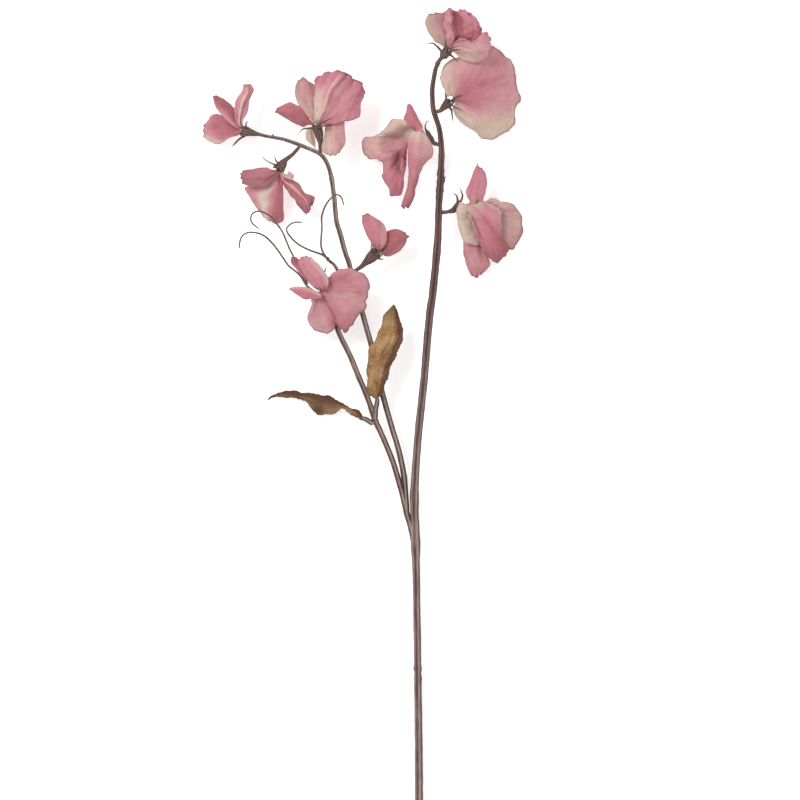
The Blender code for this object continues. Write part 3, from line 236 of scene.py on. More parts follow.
PETALS = {
    "top_left_lobe": [
        [(-13, -5, 29), (-10, -4.5, 30), (-6.5, -4, 30)], [(-19, -0.5, 26), (-13, 2, 30), (-6, 3, 29)],
        [(-23, 6, 23), (-16, 8, 28), (-6, 9, 28)], [(-26, 15, 22), (-18, 16, 26.5), (-7, 17, 27)],
        [(-23.5, 20, 23), (-17.5, 20.5, 24.5), (-9, 20.5, 25.5)],
    ],
    "top_hood": [
        [(-10, -5, 32), (-7.5, -4.5, 33), (-5.5, -3.5, 31.5), (-2, -3.5, 31), (1.5, -4.5, 30.5)],
        [(-11, 4, 33), (-6.5, 4, 36.5), (-2, 3, 33.5), (5, 2, 34), (15.5, 0.5, 32)],
        [(-13, 13, 32), (-7.5, 13, 38), (-2, 12, 34), (6, 10, 37.5), (17.2, 7.4, 33)],
        [(-13.5, 19.5, 32), (-8.5, 20, 36), (-2.5, 19, 33), (4.5, 17, 38.5), (12.8, 12.4, 33.5)],
        [(-11, 22.5, 31), (-7, 24, 34), (-2.6, 22.6, 31.5), (3, 22.8, 35), (9.2, 18, 31.5)],
    ],
    "top_right_lobe": [
        [(-4.5, -9.5, 30), (-3.5, -6, 32.5), (-5, -2.4, 34.2)],
        [(2, -14.5, 28), (4, -7, 34), (1.5, 0.8, 37.4)], [(9.5, -17.5, 27), (12, -9, 35), (9.5, -2, 37)],
        [(16, -16.5, 26), (18.5, -8, 34), (17.2, 4.6, 36)],
        [(20.5, -12, 26), (23.2, -4, 29), (21.6, 5.2, 33)],
    ],
    "back_facing_standard": fan(
        ((-19.8, -8.5, 26), (-19.4, -5.5, 26)),
        [
            (-19, -12.8, 23), (-13, -24, 17), (-7, -29.6, 14), (1, -35, 10), (9.8, -36.3, 7),
            (18.5, -33, 3), (24.5, -26.3, 1.4), (27.2, -19.5, 1), (27.7, -11.3, 1), (30, -4.8, 1),
            (27.4, 4, 1.6), (27.2, 14.3, 3), (25, 22, 6), (18.5, 27, 9), (11.5, 32.2, 12), (0, 31, 15),
            (-10, 28, 17), (-18.8, 24, 18.5), (-27, 18, 19), (-31, 10.5, 19.5), (-30.4, 4.5, 20),
            (-27, 0, 21), (-25.6, -3, 22.5), (-23.4, -4.8, 24),
        ],
        [(0.3, 2.5), (0.6, 6), (0.85, 3.5)],
    ),
    "back_facing_wings": [
        [(-18, -9.5, 21.5), (-17, -8, 22.5), (-16.5, -6, 21.5)],
        [(-9, -14, 10.5), (-8, -6, 14.5), (-8, 2, 10.5)], [(0, -18, 6), (2, -4, 10), (2, 10, 6)],
        [(10, -16, 3), (12, -2, 6), (12, 12, 3)], [(18, -8, 1.6), (19, -2, 2.5), (18, 5, 1.6)],
    ],
    "middle_narrow": [
        [(9, 14.8, 19), (13, 14.4, 20.5), (17, 15, 19)], [(4.5, 19, 15), (10, 19, 19), (16.5, 18, 16)],
        [(3, 24, 14), (8.5, 25, 18), (14, 22.5, 15)], [(4.6, 30, 14), (8, 31, 17), (12, 28.5, 15)],
        [(5, 34.3, 14), (6.6, 35.5, 15), (8.8, 34, 14.5)],
    ],
    "middle_standard": fan(
        ((12, 12.4, 24), (4, -0.5, 24.5)),
        [
            (2.5, 23.3, 26), (-6, 22.8, 27), (-12.8, 15.5, 24), (-22, 11, 18), (-27.8, 8.5, 14),
            (-29.1, -2.3, 12), (-25.7, -6.8, 13), (-17, -7.9, 17.5), (-13.5, -11, 17), (-13.7, -16.5, 14),
            (-14.6, -22, 11), (-9.8, -31.5, 9), (-6.2, -34.3, 8), (1, -33.6, 10), (1.6, -26, 13.5),
            (1, -18, 16), (0.6, -8, 19.5),
        ],
        [(0.35, -3), (0.7, 3.5)],
    ),
    "middle_hanging_wing": [
        [(10.5, 13, 28), (14.5, 13.5, 29.5), (18.5, 11.5, 28)],
        [(6.2, 8, 28), (14, 6, 31.5), (23.8, 4, 27)], [(5, -3, 27), (13, -4, 32), (24.8, -4, 25)],
        [(6.2, -13, 26), (12, -13.5, 30.5), (17, -12.5, 25)],
        [(6.2, -24, 24), (9.5, -25, 28), (12.9, -23.5, 24)],
        [(3.5, -35, 20), (7, -35.5, 24), (10.2, -34, 20)], [(0.6, -42, 16.5), (3, -45, 18), (7, -43, 17)],
    ],
    "lower_right_narrow": [
        [(-15.2, 13.4, 20), (-12, 12.6, 21.4), (-7, 14, 20.2)],
        [(-18.2, 21, 19), (-12, 20, 24), (-4.5, 18, 20)], [(-16, 27.5, 18), (-10, 27, 23), (-2.4, 25, 19)],
        [(-13.5, 35, 17), (-8.5, 35, 21), (-2.5, 32.5, 18)],
        [(-11, 41, 17), (-9.2, 43, 18), (-6.5, 40.5, 17)],
    ],
    "lower_right_standard": fan(
        ((-13.6, 4, 17), (-9.4, 12, 17.4)),
        [
            (-4, -8, 15), (2, -15, 13), (8, -19, 11), (16.5, -20.5, 8.5), (21.5, -15.8, 8), (24.3, -5, 8),
            (24, 4.5, 9), (18, 11, 12), (9.4, 14.6, 14), (0.5, 15.8, 15),
        ],
        [(0.35, 1.5), (0.7, 3)],
    ),
    "lower_right_centre": fan(
        ((-16.2, 6, 23), (-10.4, 12.8, 22.5)),
        [
            (-15.2, 1.5, 21.5), (-10.5, -8.7, 20.5), (-6.3, -23, 17), (-0.6, -30.6, 15), (7, -32.6, 13.5),
            (14.7, -25.9, 13), (15.7, -21.2, 13.5), (10.9, -15.4, 15), (10.9, -3, 17), (9, 6.8, 18.5),
            (-1.8, 14.8, 20),
        ],
        [(0.35, 3), (0.7, 6)],
    ),
    "lower_right_lower_wing": [
        [(-18.6, -4.5, 14), (-15.5, -4, 15.5), (-12, -4.5, 15)],
        [(-20, -13, 11), (-14, -14, 15), (-7, -14, 14)], [(-19.5, -24, 7), (-12, -25, 13), (-3, -25, 11.5)],
        [(-17.5, -34, 3), (-10, -34, 9.5), (0.5, -33, 7.5)],
        [(-14, -41, 0.8), (-10, -43.5, 2.5), (-5.5, -40, 3.5)],
    ],
    "lower_right_cream_lobe": [
        [(-8.4, -17.2, 16.2), (-10.8, -9, 17.2), (-13.8, -0.5, 18.4), (-15.8, 7, 19.2), (-17.5, 12, 20)],
        [(-15, -18.2, 18), (-18.4, -9, 20), (-20.4, 0, 21), (-21.2, 7, 21.6), (-21, 13, 22)],
        [(-20.3, -15.8, 17), (-23.2, -8, 18.8), (-25, 1, 20), (-25.6, 8.5, 20.5), (-23, 13.8, 21)],
    ],
    "leftmost_narrow": [
        [(5, -5, 22), (7, -5, 23.5), (9, -4.5, 22.5)], [(4.5, 4, 21), (8, 4, 25), (12.4, 3, 22)],
        [(5.5, 12, 20), (10, 11, 26), (14, 11, 22)], [(9, 18.5, 20), (13, 17, 25), (17.5, 19, 21)],
        [(9, 22.5, 20), (12, 25, 22), (16.3, 23, 21)],
    ],
    "leftmost_pointed": [
        [(3.6, -8.4, 19), (5, -7, 20), (6.4, -5.6, 19)], [(-3.5, -1.8, 16), (-0.5, 2, 19.5), (3.6, 3, 17)],
        [(-9.6, 5, 13), (-6.5, 8.5, 17), (-1.6, 9.4, 15.5)],
        [(-13.7, 14.8, 13), (-13.2, 15.6, 13.6), (-11.8, 15.6, 13.4)],
    ],
    "leftmost_lower_lobe": [
        [(5.5, -15, 15), (5, -12.4, 16.2), (5, -9.4, 15.2)],
        [(-1, -16.5, 11.5), (-2, -10, 15), (-1.5, -3.6, 12.8)],
        [(-8, -19.8, 7), (-9, -11, 13), (-8.5, 1, 10)], [(-15, -18.5, 2.8), (-15.5, -11, 9), (-14, 0.8, 8)],
        [(-19, -14.8, 0.8), (-20.4, -9.5, 3), (-18.4, -4.2, 5)],
    ],
    "upper_left_left_wing": [
        [(-16, -11, 20), (-15, -9, 21), (-15, -6.5, 20.5)],
        [(-20, -12, 16), (-19, -6, 20), (-18.5, 0, 17.5)], [(-27, -9.7, 14), (-26, -3, 19), (-24.5, 4, 15)],
        [(-34, -6, 12), (-33.5, 0, 17), (-31.5, 6.3, 14.5)],
        [(-41, -1.5, 12), (-41.5, 0, 12.8), (-40, 1.8, 12.4)],
    ],
    "upper_left_cream_lobe": [
        [(-14.5, -6.5, 25), (-11.5, -5.5, 26.5), (-8, -5, 26)],
        [(-19.5, 0, 22), (-14, 2, 26.5), (-6, 2.5, 25.5)], [(-24.8, 7, 19), (-16.5, 9, 26), (-5, 9, 25)],
        [(-26.8, 15, 18), (-18.5, 16.5, 25), (-7, 14, 24.5)],
        [(-24.6, 22, 20), (-20, 25, 23), (-13.5, 20.5, 24)],
    ],
    "upper_left_crown": [
        [
            (-12, -7, 29.5), (-10, -6.5, 30.5), (-8, -6.5, 31.5), (-6, -7.5, 31), (-4, -9, 30),
            (-2, -10.5, 29),
        ],
        [(-12, 3, 29), (-7.5, 4, 31.5), (-3.5, 3.5, 35), (0, 2, 33.5), (6, -2.5, 32), (11, -9.5, 29.5)],
        [(-12.5, 13, 28.5), (-7, 14, 31.5), (-1, 13.5, 37), (4, 11, 34.5), (13, 5, 32), (20.5, -6, 27.5)],
        [(-11.6, 21, 28), (-5, 22.5, 31.5), (4, 21, 37), (10, 18, 34.5), (20, 12, 31), (22, 2, 25.5)],
        [(-10, 24, 28), (-3.5, 29, 30), (9.5, 29, 35.5), (16, 26, 33.5), (26, 19, 28), (24, 9.5, 25)],
    ],
    "upper_left_lower_lobe": [
        [(-4, -10.5, 24.5), (2, -9.5, 26), (8.5, -6.5, 25)],
        [(-4.4, -17, 26), (2.5, -16, 29), (11, -13, 25.5)], [(-6, -24, 26), (2, -23, 30), (12, -21, 26)],
        [(-6.2, -29.5, 25.5), (2.5, -30, 29.5), (11.5, -26.5, 25.5)],
        [(-3, -33.5, 25), (1.5, -35.3, 27), (7, -32.5, 25.5)],
    ],
    "upper_left_small_lobe": [
        [(-16, -13.8, 15), (-14.5, -13.8, 16), (-13, -13.8, 15.5)],
        [(-18.6, -16.5, 13), (-15.5, -18, 16), (-12.5, -18, 15)],
        [(-17.5, -22, 12), (-14.5, -23, 15), (-11, -23, 14)],
        [(-14, -26.5, 11.5), (-12.5, -27.5, 12.5), (-11, -28.3, 12)],
    ],
    "under_arch_left_wing": [
        [(-1.6, 9.5, 22), (-2, 12, 23.4), (-2.6, 15, 22.6)],
        [(-6, 6, 20.5), (-6.5, 11, 25), (-7, 16.4, 21.5)],
        [(-14, 3.6, 17), (-13.5, 10, 23.5), (-14, 16.2, 19)],
        [(-20, 4.4, 14.5), (-20, 10, 22), (-20.5, 15.2, 18)],
        [(-24.6, 6.2, 14), (-26.8, 10, 18.5), (-25.3, 13.6, 17)],
    ],
    "under_arch_centre": [
        [(-4, 9, 17), (0, 9.6, 18.2), (3, 9.4, 18.2), (5.4, 8.6, 17)],
        [(-12, 3.4, 11.5), (-4, 2, 16.5), (2, 2, 19), (5.8, 2.5, 17)],
        [(-22.8, 2.6, 6), (-10, -4, 12), (0, -6, 17), (5.8, -5, 15.5)],
        [(-18, -6.5, 3), (-10, -12, 8), (-1.5, -14, 13.5), (6, -13, 12)],
        [(-11, -16.5, 1), (-6, -20, 4), (0, -22, 8), (6.8, -20, 7.5)],
        [(-9, -19.8, 0.6), (-3.5, -22.3, 2), (3, -25.3, 5), (6.6, -23, 5.5)],
    ],
    "under_arch_right_wing": [
        [(6.4, 5, 21.6), (7, 7, 22.8), (8.8, 8, 21.8)], [(9.4, 0, 18), (13, 3, 24), (18, 5, 20)],
        [(14, -7.5, 15), (19, -3, 23), (22.5, -1.8, 18)], [(19.5, -14, 12), (24, -9, 20), (29.4, -4.6, 15)],
        [(23.4, -18.8, 11), (25.5, -16.5, 13), (27.6, -12.5, 13)],
    ],
    "under_arch_small_lobe": [
        [(6.8, 9.6, 25), (7.6, 10.8, 25.8), (8.4, 12, 25.2)],
        [(9.4, 8.2, 26.4), (9.9, 11.4, 28), (9.4, 14.6, 26.6)],
        [(12.5, 7.2, 26.2), (13, 10, 28), (12.2, 13.4, 26.6)],
        [(14, 8.5, 25.8), (14.6, 10, 26.2), (14, 12, 25.8)],
    ],
    "bud_left_lobe": [
        [(-9.5, -4.6, 20.5), (-5.5, -3.8, 22.4), (-2, -5.4, 21.4)],
        [(-11.5, 0, 22), (-6, 1, 24.5), (0.5, -2.5, 22.4)], [(-15, 6.5, 20), (-7, 8, 25), (1.4, 4, 23)],
        [(-17.4, 13, 19), (-9, 14, 24), (0, 11, 22)],
        [(-18.2, 18.5, 19), (-13.5, 20.4, 22), (-4, 15.5, 21)],
    ],
    "bud_right_lobe": [
        [(-3, -6.2, 16.4), (-0.4, -9.2, 18), (1.2, -12, 16.8)],
        [(-0.5, 1, 17), (4, -4, 21), (6.5, -11, 18)], [(2, 6.6, 18), (8, 1.5, 22), (11.5, -8, 19)],
        [(9, 8.4, 19), (13, 4, 21), (14.8, -4, 19)], [(15.6, 5.6, 20), (18.4, 3, 20.4), (17.2, 1, 19.5)],
    ],
    "front_standard": fan(
        ((-12.8, -1, 24.5), (-7.6, 6.6, 24.5)),
        [
            (-17.6, -3.8, 21), (-18.2, -12, 17.5), (-19.5, -20.4, 14), (-16.4, -27.2, 13.5),
            (-9.6, -30.6, 15), (-3.2, -29, 18), (0.4, -25.4, 20), (2.4, -22.6, 21), (4.8, -27.6, 20),
            (8.4, -30, 20), (13, -24.8, 21.5), (17.4, -18.6, 22.5), (22.8, -11.6, 23.5), (24.6, -5, 24),
            (26.6, 0, 24.5), (26.6, 7.4, 25), (23, 15, 25), (16, 19.4, 25), (8.4, 20.8, 25),
            (0.6, 18.4, 24.5), (-4.4, 13.4, 24),
        ],
        [(0.35, 1), (0.7, 2.6)],
    ),
    "front_back_wing": [
        [(-14.5, 5, 25.4), (-13, 6.2, 26), (-11.5, 7.2, 25.4)],
        [(-22, 11.5, 25), (-18.5, 13, 26.4), (-15, 14.5, 25)],
        [(-28.8, 18.5, 25.2), (-24.8, 20, 26.8), (-20.8, 21, 25.2)],
        [(-33, 24, 25.8), (-29.5, 25, 27), (-26, 26, 25.4)],
        [(-32.8, 28.6, 26), (-31, 29.6, 26.4), (-29, 28.6, 26)],
    ],
    "front_upper_wing": [
        [(-12, 4.6, 29.2), (-9, 5.4, 30.2), (-5.6, 6.6, 29.6)],
        [(-19, 10, 29), (-13, 12, 33), (-5, 13, 31)],
        [(-24.5, 17.5, 28.5), (-18.5, 19, 34), (-10.5, 20.8, 32)],
        [(-27.8, 23.5, 28.5), (-22.5, 24.5, 33), (-15.5, 25.5, 32)],
        [(-26.5, 28, 28.5), (-22.5, 29.2, 31), (-18, 28.8, 31)],
    ],
    "front_lower_wing": [
        [(-10.4, -2.2, 28.4), (-10.2, -1, 29), (-10.4, 0.4, 28.4)],
        [(-18.2, -3, 26.4), (-16.5, 0.3, 28.4), (-15, 3, 27)],
        [(-24, -3, 25), (-23, 2, 27.5), (-22.7, 6, 26)],
        [(-29.6, 0.5, 25), (-30, 3.5, 26.5), (-30.4, 6.4, 25.5)],
        [(-34, 3.5, 25), (-34.5, 4.5, 25.5), (-34.8, 5.2, 25)],
    ],
}
# How each petal looks.
# tint: rows from claw to rim, each across the petal, in tenths: 0 cream, 10 rose, 15 deep rose.
# ruffle: waves along the rim and their height in mm. curl: how far the rim rolls, in mm (down if negative).
# pleat: folds that run out from the claw, and their height in mm. wave: height of the slow undulation, mm.
# crumple: how creased the fabric is, where 1 is usual. dull: how much the colour is greyed.
# seam: a pale line from claw to rim, partly the petal's own paler band and partly a painted highlight along
# a ridge, as its place across the petal, its half width and its strength.
Look = namedtuple("Look", "tint ruffle curl pleat wave crumple seam dull", defaults=(1.0, None, 0.0))
LOOKS = {
    "top_left_lobe": Look(
        [[6, 7, 9], [3.5, 4.5, 9], [2, 3.5, 10], [2.5, 5, 11], [6, 8, 10]], (2.5, 0.9), 1, (2, 0.5), 0.7,
        dull=0.38,
    ),
    "top_hood": Look(
        [
            [10, 8, 11, 12, 14], [9, 8, 14, 13, 15], [10, 7, 15, 10, 13], [11, 9, 15, 8, 11],
            [13, 9, 13, 9, 10],
        ],
        (6.5, 1.4), -2.2, (3, 0.5), 1.8, crumple=2.3,
    ),
    "top_right_lobe": Look(
        [[4, 5, 9], [2.5, 4, 9], [2, 4, 8], [3, 6, 8], [4, 6, 8]], (3.5, 0.9), -1.2, (3, 0.5), 1.2,
        crumple=1.1,
    ),
    "back_facing_standard": Look(
        [
            [1, 2, 6, 8, 8.5, 5.5, 0.5, 0], [0.5, 1.5, 8, 9.5, 10, 6, 0, 0], [0, 0.5, 4.5, 8, 8.5, 5, 0, 0],
            [0, 0, 1.5, 5, 6, 4, 0, 0],
        ],
        (7.5, 0.9), 1, (4, 0.3), 1.2, crumple=0.85,
    ),
    "back_facing_wings": Look([[5, 4, 5], [7, 5, 7], [9, 7, 9], [9, 8, 9]], (3, 0.5), -0.5, (2, 0.4), 0.4),
    "middle_narrow": Look(
        [[6, 8, 6], [9, 10, 9], [11, 9, 11], [10, 11, 12]], (2, 0.6), -0.7, (1, 0.8), 0.6,
    ),
    "middle_standard": Look(
        [
            [5, 6, 9, 13, 15, 15, 13, 9], [2, 2, 7, 9, 12, 14, 13, 11], [1, 2, 5, 7.5, 9, 10, 10.5, 10],
            [2, 2.5, 5.5, 7, 8, 9, 9.5, 10],
        ],
        (5.5, 1.2), -1.4, (2, 0.3), 1.4, crumple=0.9,
    ),
    "middle_hanging_wing": Look(
        [[2, 1, 2], [2, 1, 3], [9, 4, 4], [10, 7.5, 7], [10, 9, 9], [10, 10, 10], [11, 10, 11]], (3.5, 0.9),
        -1.1, (2, 0.4), 0.9,
    ),
    "lower_right_narrow": Look(
        [[3, 2, 4], [7, 5, 8], [9, 8, 9], [10, 9, 10], [11, 10, 11]], (2, 0.7), -0.8, (2, 0.6), 0.6,
    ),
    "lower_right_standard": Look(
        [[4, 4, 4, 4, 4], [8, 7, 4.5, 3.5, 3.5], [8, 6.5, 4.5, 3.5, 3], [8, 6, 4.5, 3.5, 3]], (4.5, 1), 0.8,
        (3, 0.4), 1, dull=0.18,
    ),
    "lower_right_centre": Look(
        [[0, 0, 0.5, 1, 0.5, 0], [3, 4, 6, 6.5, 4, 1], [5, 9, 11, 12, 8, 4], [5, 15, 15, 15, 8, 4]],
        (6, 1.2), -2.2, (2, 0.15), 1.3, crumple=0.85,
    ),
    "lower_right_lower_wing": Look(
        [[7, 8, 10], [7, 8, 10], [7, 7.5, 9], [8, 7.5, 9], [10, 10, 10]], (3.5, 1), -1.2, (3, 0.5), 1,
    ),
    "lower_right_cream_lobe": Look(
        [[2, 1, 1, 0.5, 1], [1.5, 0.5, 0, 0, 1], [1.5, 0, 0, 0, 1]], (3, 0.5), -1, (2, 0.2), 0.6,
    ),
    "leftmost_narrow": Look(
        [[8, 6, 8], [10, 7, 9], [9, 7, 9], [9, 8, 9], [11, 9, 10]], (3, 1), -0.9, (2, 1), 0.7,
        seam=(0.45, 0.1, 0.6),
    ),
    "leftmost_pointed": Look(
        [[5, 12, 12], [5, 14.5, 13], [4, 15, 13], [15, 15, 15]], (1.5, 0.4), 0.6, (1, 0.5), 0.4, dull=0.15,
    ),
    "leftmost_lower_lobe": Look(
        [[6, 8, 8], [10, 13, 12], [5, 13.5, 12], [0.5, 13, 10], [0, 6, 7]], (3, 0.8), 0.9, (3, 0.5), 0.8,
    ),
    "upper_left_left_wing": Look(
        [[9, 10, 10], [12, 12, 11], [12.5, 12.5, 11.5], [12, 12.5, 11], [13, 12, 12]], (2, 0.7), -0.9,
        (2, 0.6), 0.8, dull=0.05,
    ),
    "upper_left_cream_lobe": Look(
        [[4, 5, 4], [3.5, 4.5, 4.5], [2.5, 5, 4], [2.5, 6.5, 7], [5, 7, 10]], (2.5, 0.9), -0.9, (2, 0.6),
        0.9, dull=0.25,
    ),
    "upper_left_crown": Look(
        [
            [2, 2, 3, 7, 8, 8], [2, 1.5, 5, 8, 8.5, 8], [3, 3, 8, 8.5, 8.5, 8], [8, 9, 9, 8, 9, 8.5],
            [12, 11, 10, 8, 10, 9],
        ],
        (7, 1.6), -1.4, (2, 0.3), 1.2, crumple=1.1, seam=(0.4, 0.03, 0.9),
    ),
    "upper_left_lower_lobe": Look(
        [[8, 7, 8], [6, 5, 7], [3.5, 4, 6], [2, 3, 5], [1.5, 2, 3.5]], (3, 0.8), -0.9, (2, 0.4), 0.8,
    ),
    "upper_left_small_lobe": Look(
        [[4, 4, 4], [1, 2, 3], [0, 1, 2], [1, 1, 1]], (2, 0.5), 0.5, (2, 0.4), 0.4,
    ),
    "under_arch_left_wing": Look(
        [[10, 10, 9], [11, 11, 10], [11.5, 11.5, 10], [11.5, 12.5, 11], [13, 13, 12]], (3.5, 0.8), 1.6,
        (2, 0.6), 0.8, crumple=1.3, dull=0.2,
    ),
    "under_arch_centre": Look(
        [
            [9, 8, 9, 11], [9, 8, 10, 12], [8.5, 8, 11, 12], [8, 8, 11.5, 12.5], [8.5, 9, 12.5, 12.5],
            [10, 10, 12, 12],
        ],
        (4, 0.9), -1, (2, 0.6), 1.1, seam=(0.36, 0.12, 0.85),
    ),
    "under_arch_right_wing": Look(
        [[11, 9, 10], [12.5, 10, 11], [13, 10, 12], [13, 11, 12], [13, 12, 12]], (4.5, 1.1), -0.8, (2, 0.8),
        0.7, crumple=1.3, seam=(0.5, 0.05, 0.8),
    ),
    "under_arch_small_lobe": Look([[3, 9, 3], [1, 7, 1], [1, 3, 1]], (2, 0.3), -0.3, (1, 0.4), 0.3),
    "bud_left_lobe": Look(
        [[11, 9, 8], [9, 9, 7], [10, 9, 7], [10, 9.5, 8], [12, 11, 10]], (2.5, 0.8), -0.9, (2, 0.5), 0.8,
    ),
    "bud_right_lobe": Look(
        [[13, 13, 12], [12.5, 13.5, 12.5], [13, 13.5, 12.5], [13, 13.5, 13], [15, 15, 15]], (2, 0.5), -0.8,
        (2, 0.5), 0.7, dull=0.08,
    ),
    "front_standard": Look(
        [
            [8, 8.5, 9.5, 9, 8, 9], [6, 7.5, 10.5, 7.5, 8.5, 8], [5.5, 7, 10.5, 6.5, 9, 7],
            [5.5, 6, 15, 6.5, 6, 6],
        ],
        (8, 0.7), -1.3, (4, 0.35), 2, crumple=0.85, dull=0.1,
    ),
    "front_back_wing": Look(
        [[13, 14, 15], [12, 14, 15], [12, 14, 15], [12, 14, 14], [13, 14, 14]], (2, 0.5), -0.5, (1, 0.4),
        0.5,
    ),
    "front_upper_wing": Look(
        [[10, 9, 7], [9.5, 9, 5], [9, 8.5, 2.5], [8.5, 8, 1.5], [7, 5, 1]], (2.5, 0.7), -0.8, (2, 0.5), 0.7,
    ),
    "front_lower_wing": Look(
        [[10, 9, 3], [12, 10, 2], [12, 10, 1.5], [11, 9, 1.5], [10, 8, 2]], (2, 0.5), -0.5, (1, 0.5), 0.5,
    ),
}
FANS = {
    "back_facing_standard", "middle_standard", "lower_right_standard", "lower_right_centre",
    "front_standard",
}
PALE_PETALS = {
    "top_left_lobe", "lower_right_cream_lobe", "lower_right_standard", "upper_left_cream_lobe",
    "upper_left_small_lobe", "under_arch_small_lobe",
}


def smooth(points, t):
    """Values at each t (0 to 1) of a smooth line through points, an array whose first axis is the line."""
    points = np.asarray(points, float)
    last = len(points) - 1
    ends = np.concatenate([[2 * points[0] - points[1]], points, [2 * points[-1] - points[-2]]])
    at = np.clip(t, 0, 1) * last
    i = np.minimum(at.astype(int), last - 1)
    f = (at - i).reshape((-1,) + (1,) * (points.ndim - 1))
    a, b, c, d = (ends[i + k] for k in range(4))
    return 0.5 * (2 * b + (c - a) * f + (2 * a - 5 * b + 4 * c - d) * f**2 + (3 * b - a - 3 * c + d) * f**3)


def value_noise(where, seed):
    """Smooth noise from -1 to 1 at each row of where, one wave per unit."""
    cell = np.floor(where).astype(np.int64)
    f = where - cell
    f = f * f * (3 - 2 * f)
    total = np.zeros(len(where))
    for dx in (0, 1):
        for dy in (0, 1):
            for dz in (0, 1):
                n = (cell[:, 0] + dx) * 374761393 + (cell[:, 1] + dy) * 668265263
                n = n + (cell[:, 2] + dz) * 1440662683 + seed * 974634777
                n = ((n ^ (n >> 13)) * 1274126177) & 0x7FFFFFFF
                n = n ^ (n >> 15)
                corner = (n & 0xFFFFF) / 0x7FFFF - 1
                weight = np.where(dx, f[:, 0], 1 - f[:, 0]) * np.where(dy, f[:, 1], 1 - f[:, 1])
                total += corner * weight * np.where(dz, f[:, 2], 1 - f[:, 2])
    return total


def fractal(where, seed, octaves=3):
    return sum(value_noise(where * 2**k, seed + k) * 0.5**k for k in range(octaves))


def unit(vectors):
    return vectors / np.maximum(np.linalg.norm(vectors, axis=-1, keepdims=True), 1e-12)


def make_object(name, verts, faces, attributes, uv=None):
    """A mesh object with float attributes on its points, and a UV map from values on its points."""
    mesh = bpy.data.meshes.new(name)
    mesh.from_pydata([tuple(v) for v in verts], [], faces)
    for key, values in attributes.items():
        layer = mesh.attributes.new(key, "FLOAT", "POINT")
        layer.data.foreach_set("value", np.asarray(values, np.float32).ravel())
    if uv is not None:
        corners = np.empty(len(mesh.loops), np.int32)
        mesh.loops.foreach_get("vertex_index", corners)
        layer = mesh.uv_layers.new(name="UVMap")
        layer.data.foreach_set("uv", np.asarray(uv, np.float32)[corners].ravel())
    mesh.shade_smooth()
    mesh.update()
    obj = bpy.data.objects.new(name, mesh)
    bpy.context.scene.collection.objects.link(obj)
    return obj


def place_piece(obj, node, material):
    obj.data.materials.append(material)
    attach(obj, "root")
    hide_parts(node)


def grid_faces(rows, columns, wrap=False):
    faces = []
    for r in range(rows - 1):
        for c in range(columns if wrap else columns - 1):
            d = (c + 1) % columns
            faces.append((r * columns + c, r * columns + d, (r + 1) * columns + d, (r + 1) * columns + c))
    return faces


def surface(cage, u, v):
    """Points of the smooth sheet over a cage at every u across and v along, as (len(v), len(u), 3)."""
    across = smooth(np.transpose(cage, (1, 0, 2)), u)
    return smooth(np.transpose(across, (1, 0, 2)), v)


def normals_of(points):
    along = np.gradient(points, axis=0)
    across = np.gradient(points, axis=1)
    return unit(np.cross(across, along))


def sheet_lengths(points):
    """(width at the widest, length along the middle) of a grid of points."""
    widths = np.linalg.norm(np.diff(points, axis=1), axis=2).sum(axis=1)
    middle = points[:, points.shape[1] // 2]
    return widths.max(), np.linalg.norm(np.diff(middle, axis=0), axis=1).sum()


def upward_normals(points):
    """Normals of a grid of points, turned so that most of them point up."""
    normals = normals_of(points)
    return normals * np.where(normals[..., 2:].mean() < 0, -1, 1)


def sheet_object(node, points, uu, vv, size, attributes, thickness, lowest):
    """A thin skin over a grid of points in mm, kept above the lowest height, with a UV map in metres."""
    nv, nu = uu.shape
    points[..., 2] = np.maximum(points[..., 2], lowest)
    uv = np.stack([uu * size[0] * MM, vv * size[1] * MM], -1).reshape(-1, 2)
    obj = make_object(node + "_skin", points.reshape(-1, 3) * MM, grid_faces(nv, nu), attributes, uv)
    skin = obj.modifiers.new("skin", "SOLIDIFY")
    skin.thickness = thickness * MM
    skin.offset = 0
    skin.use_even_offset = False
    return obj


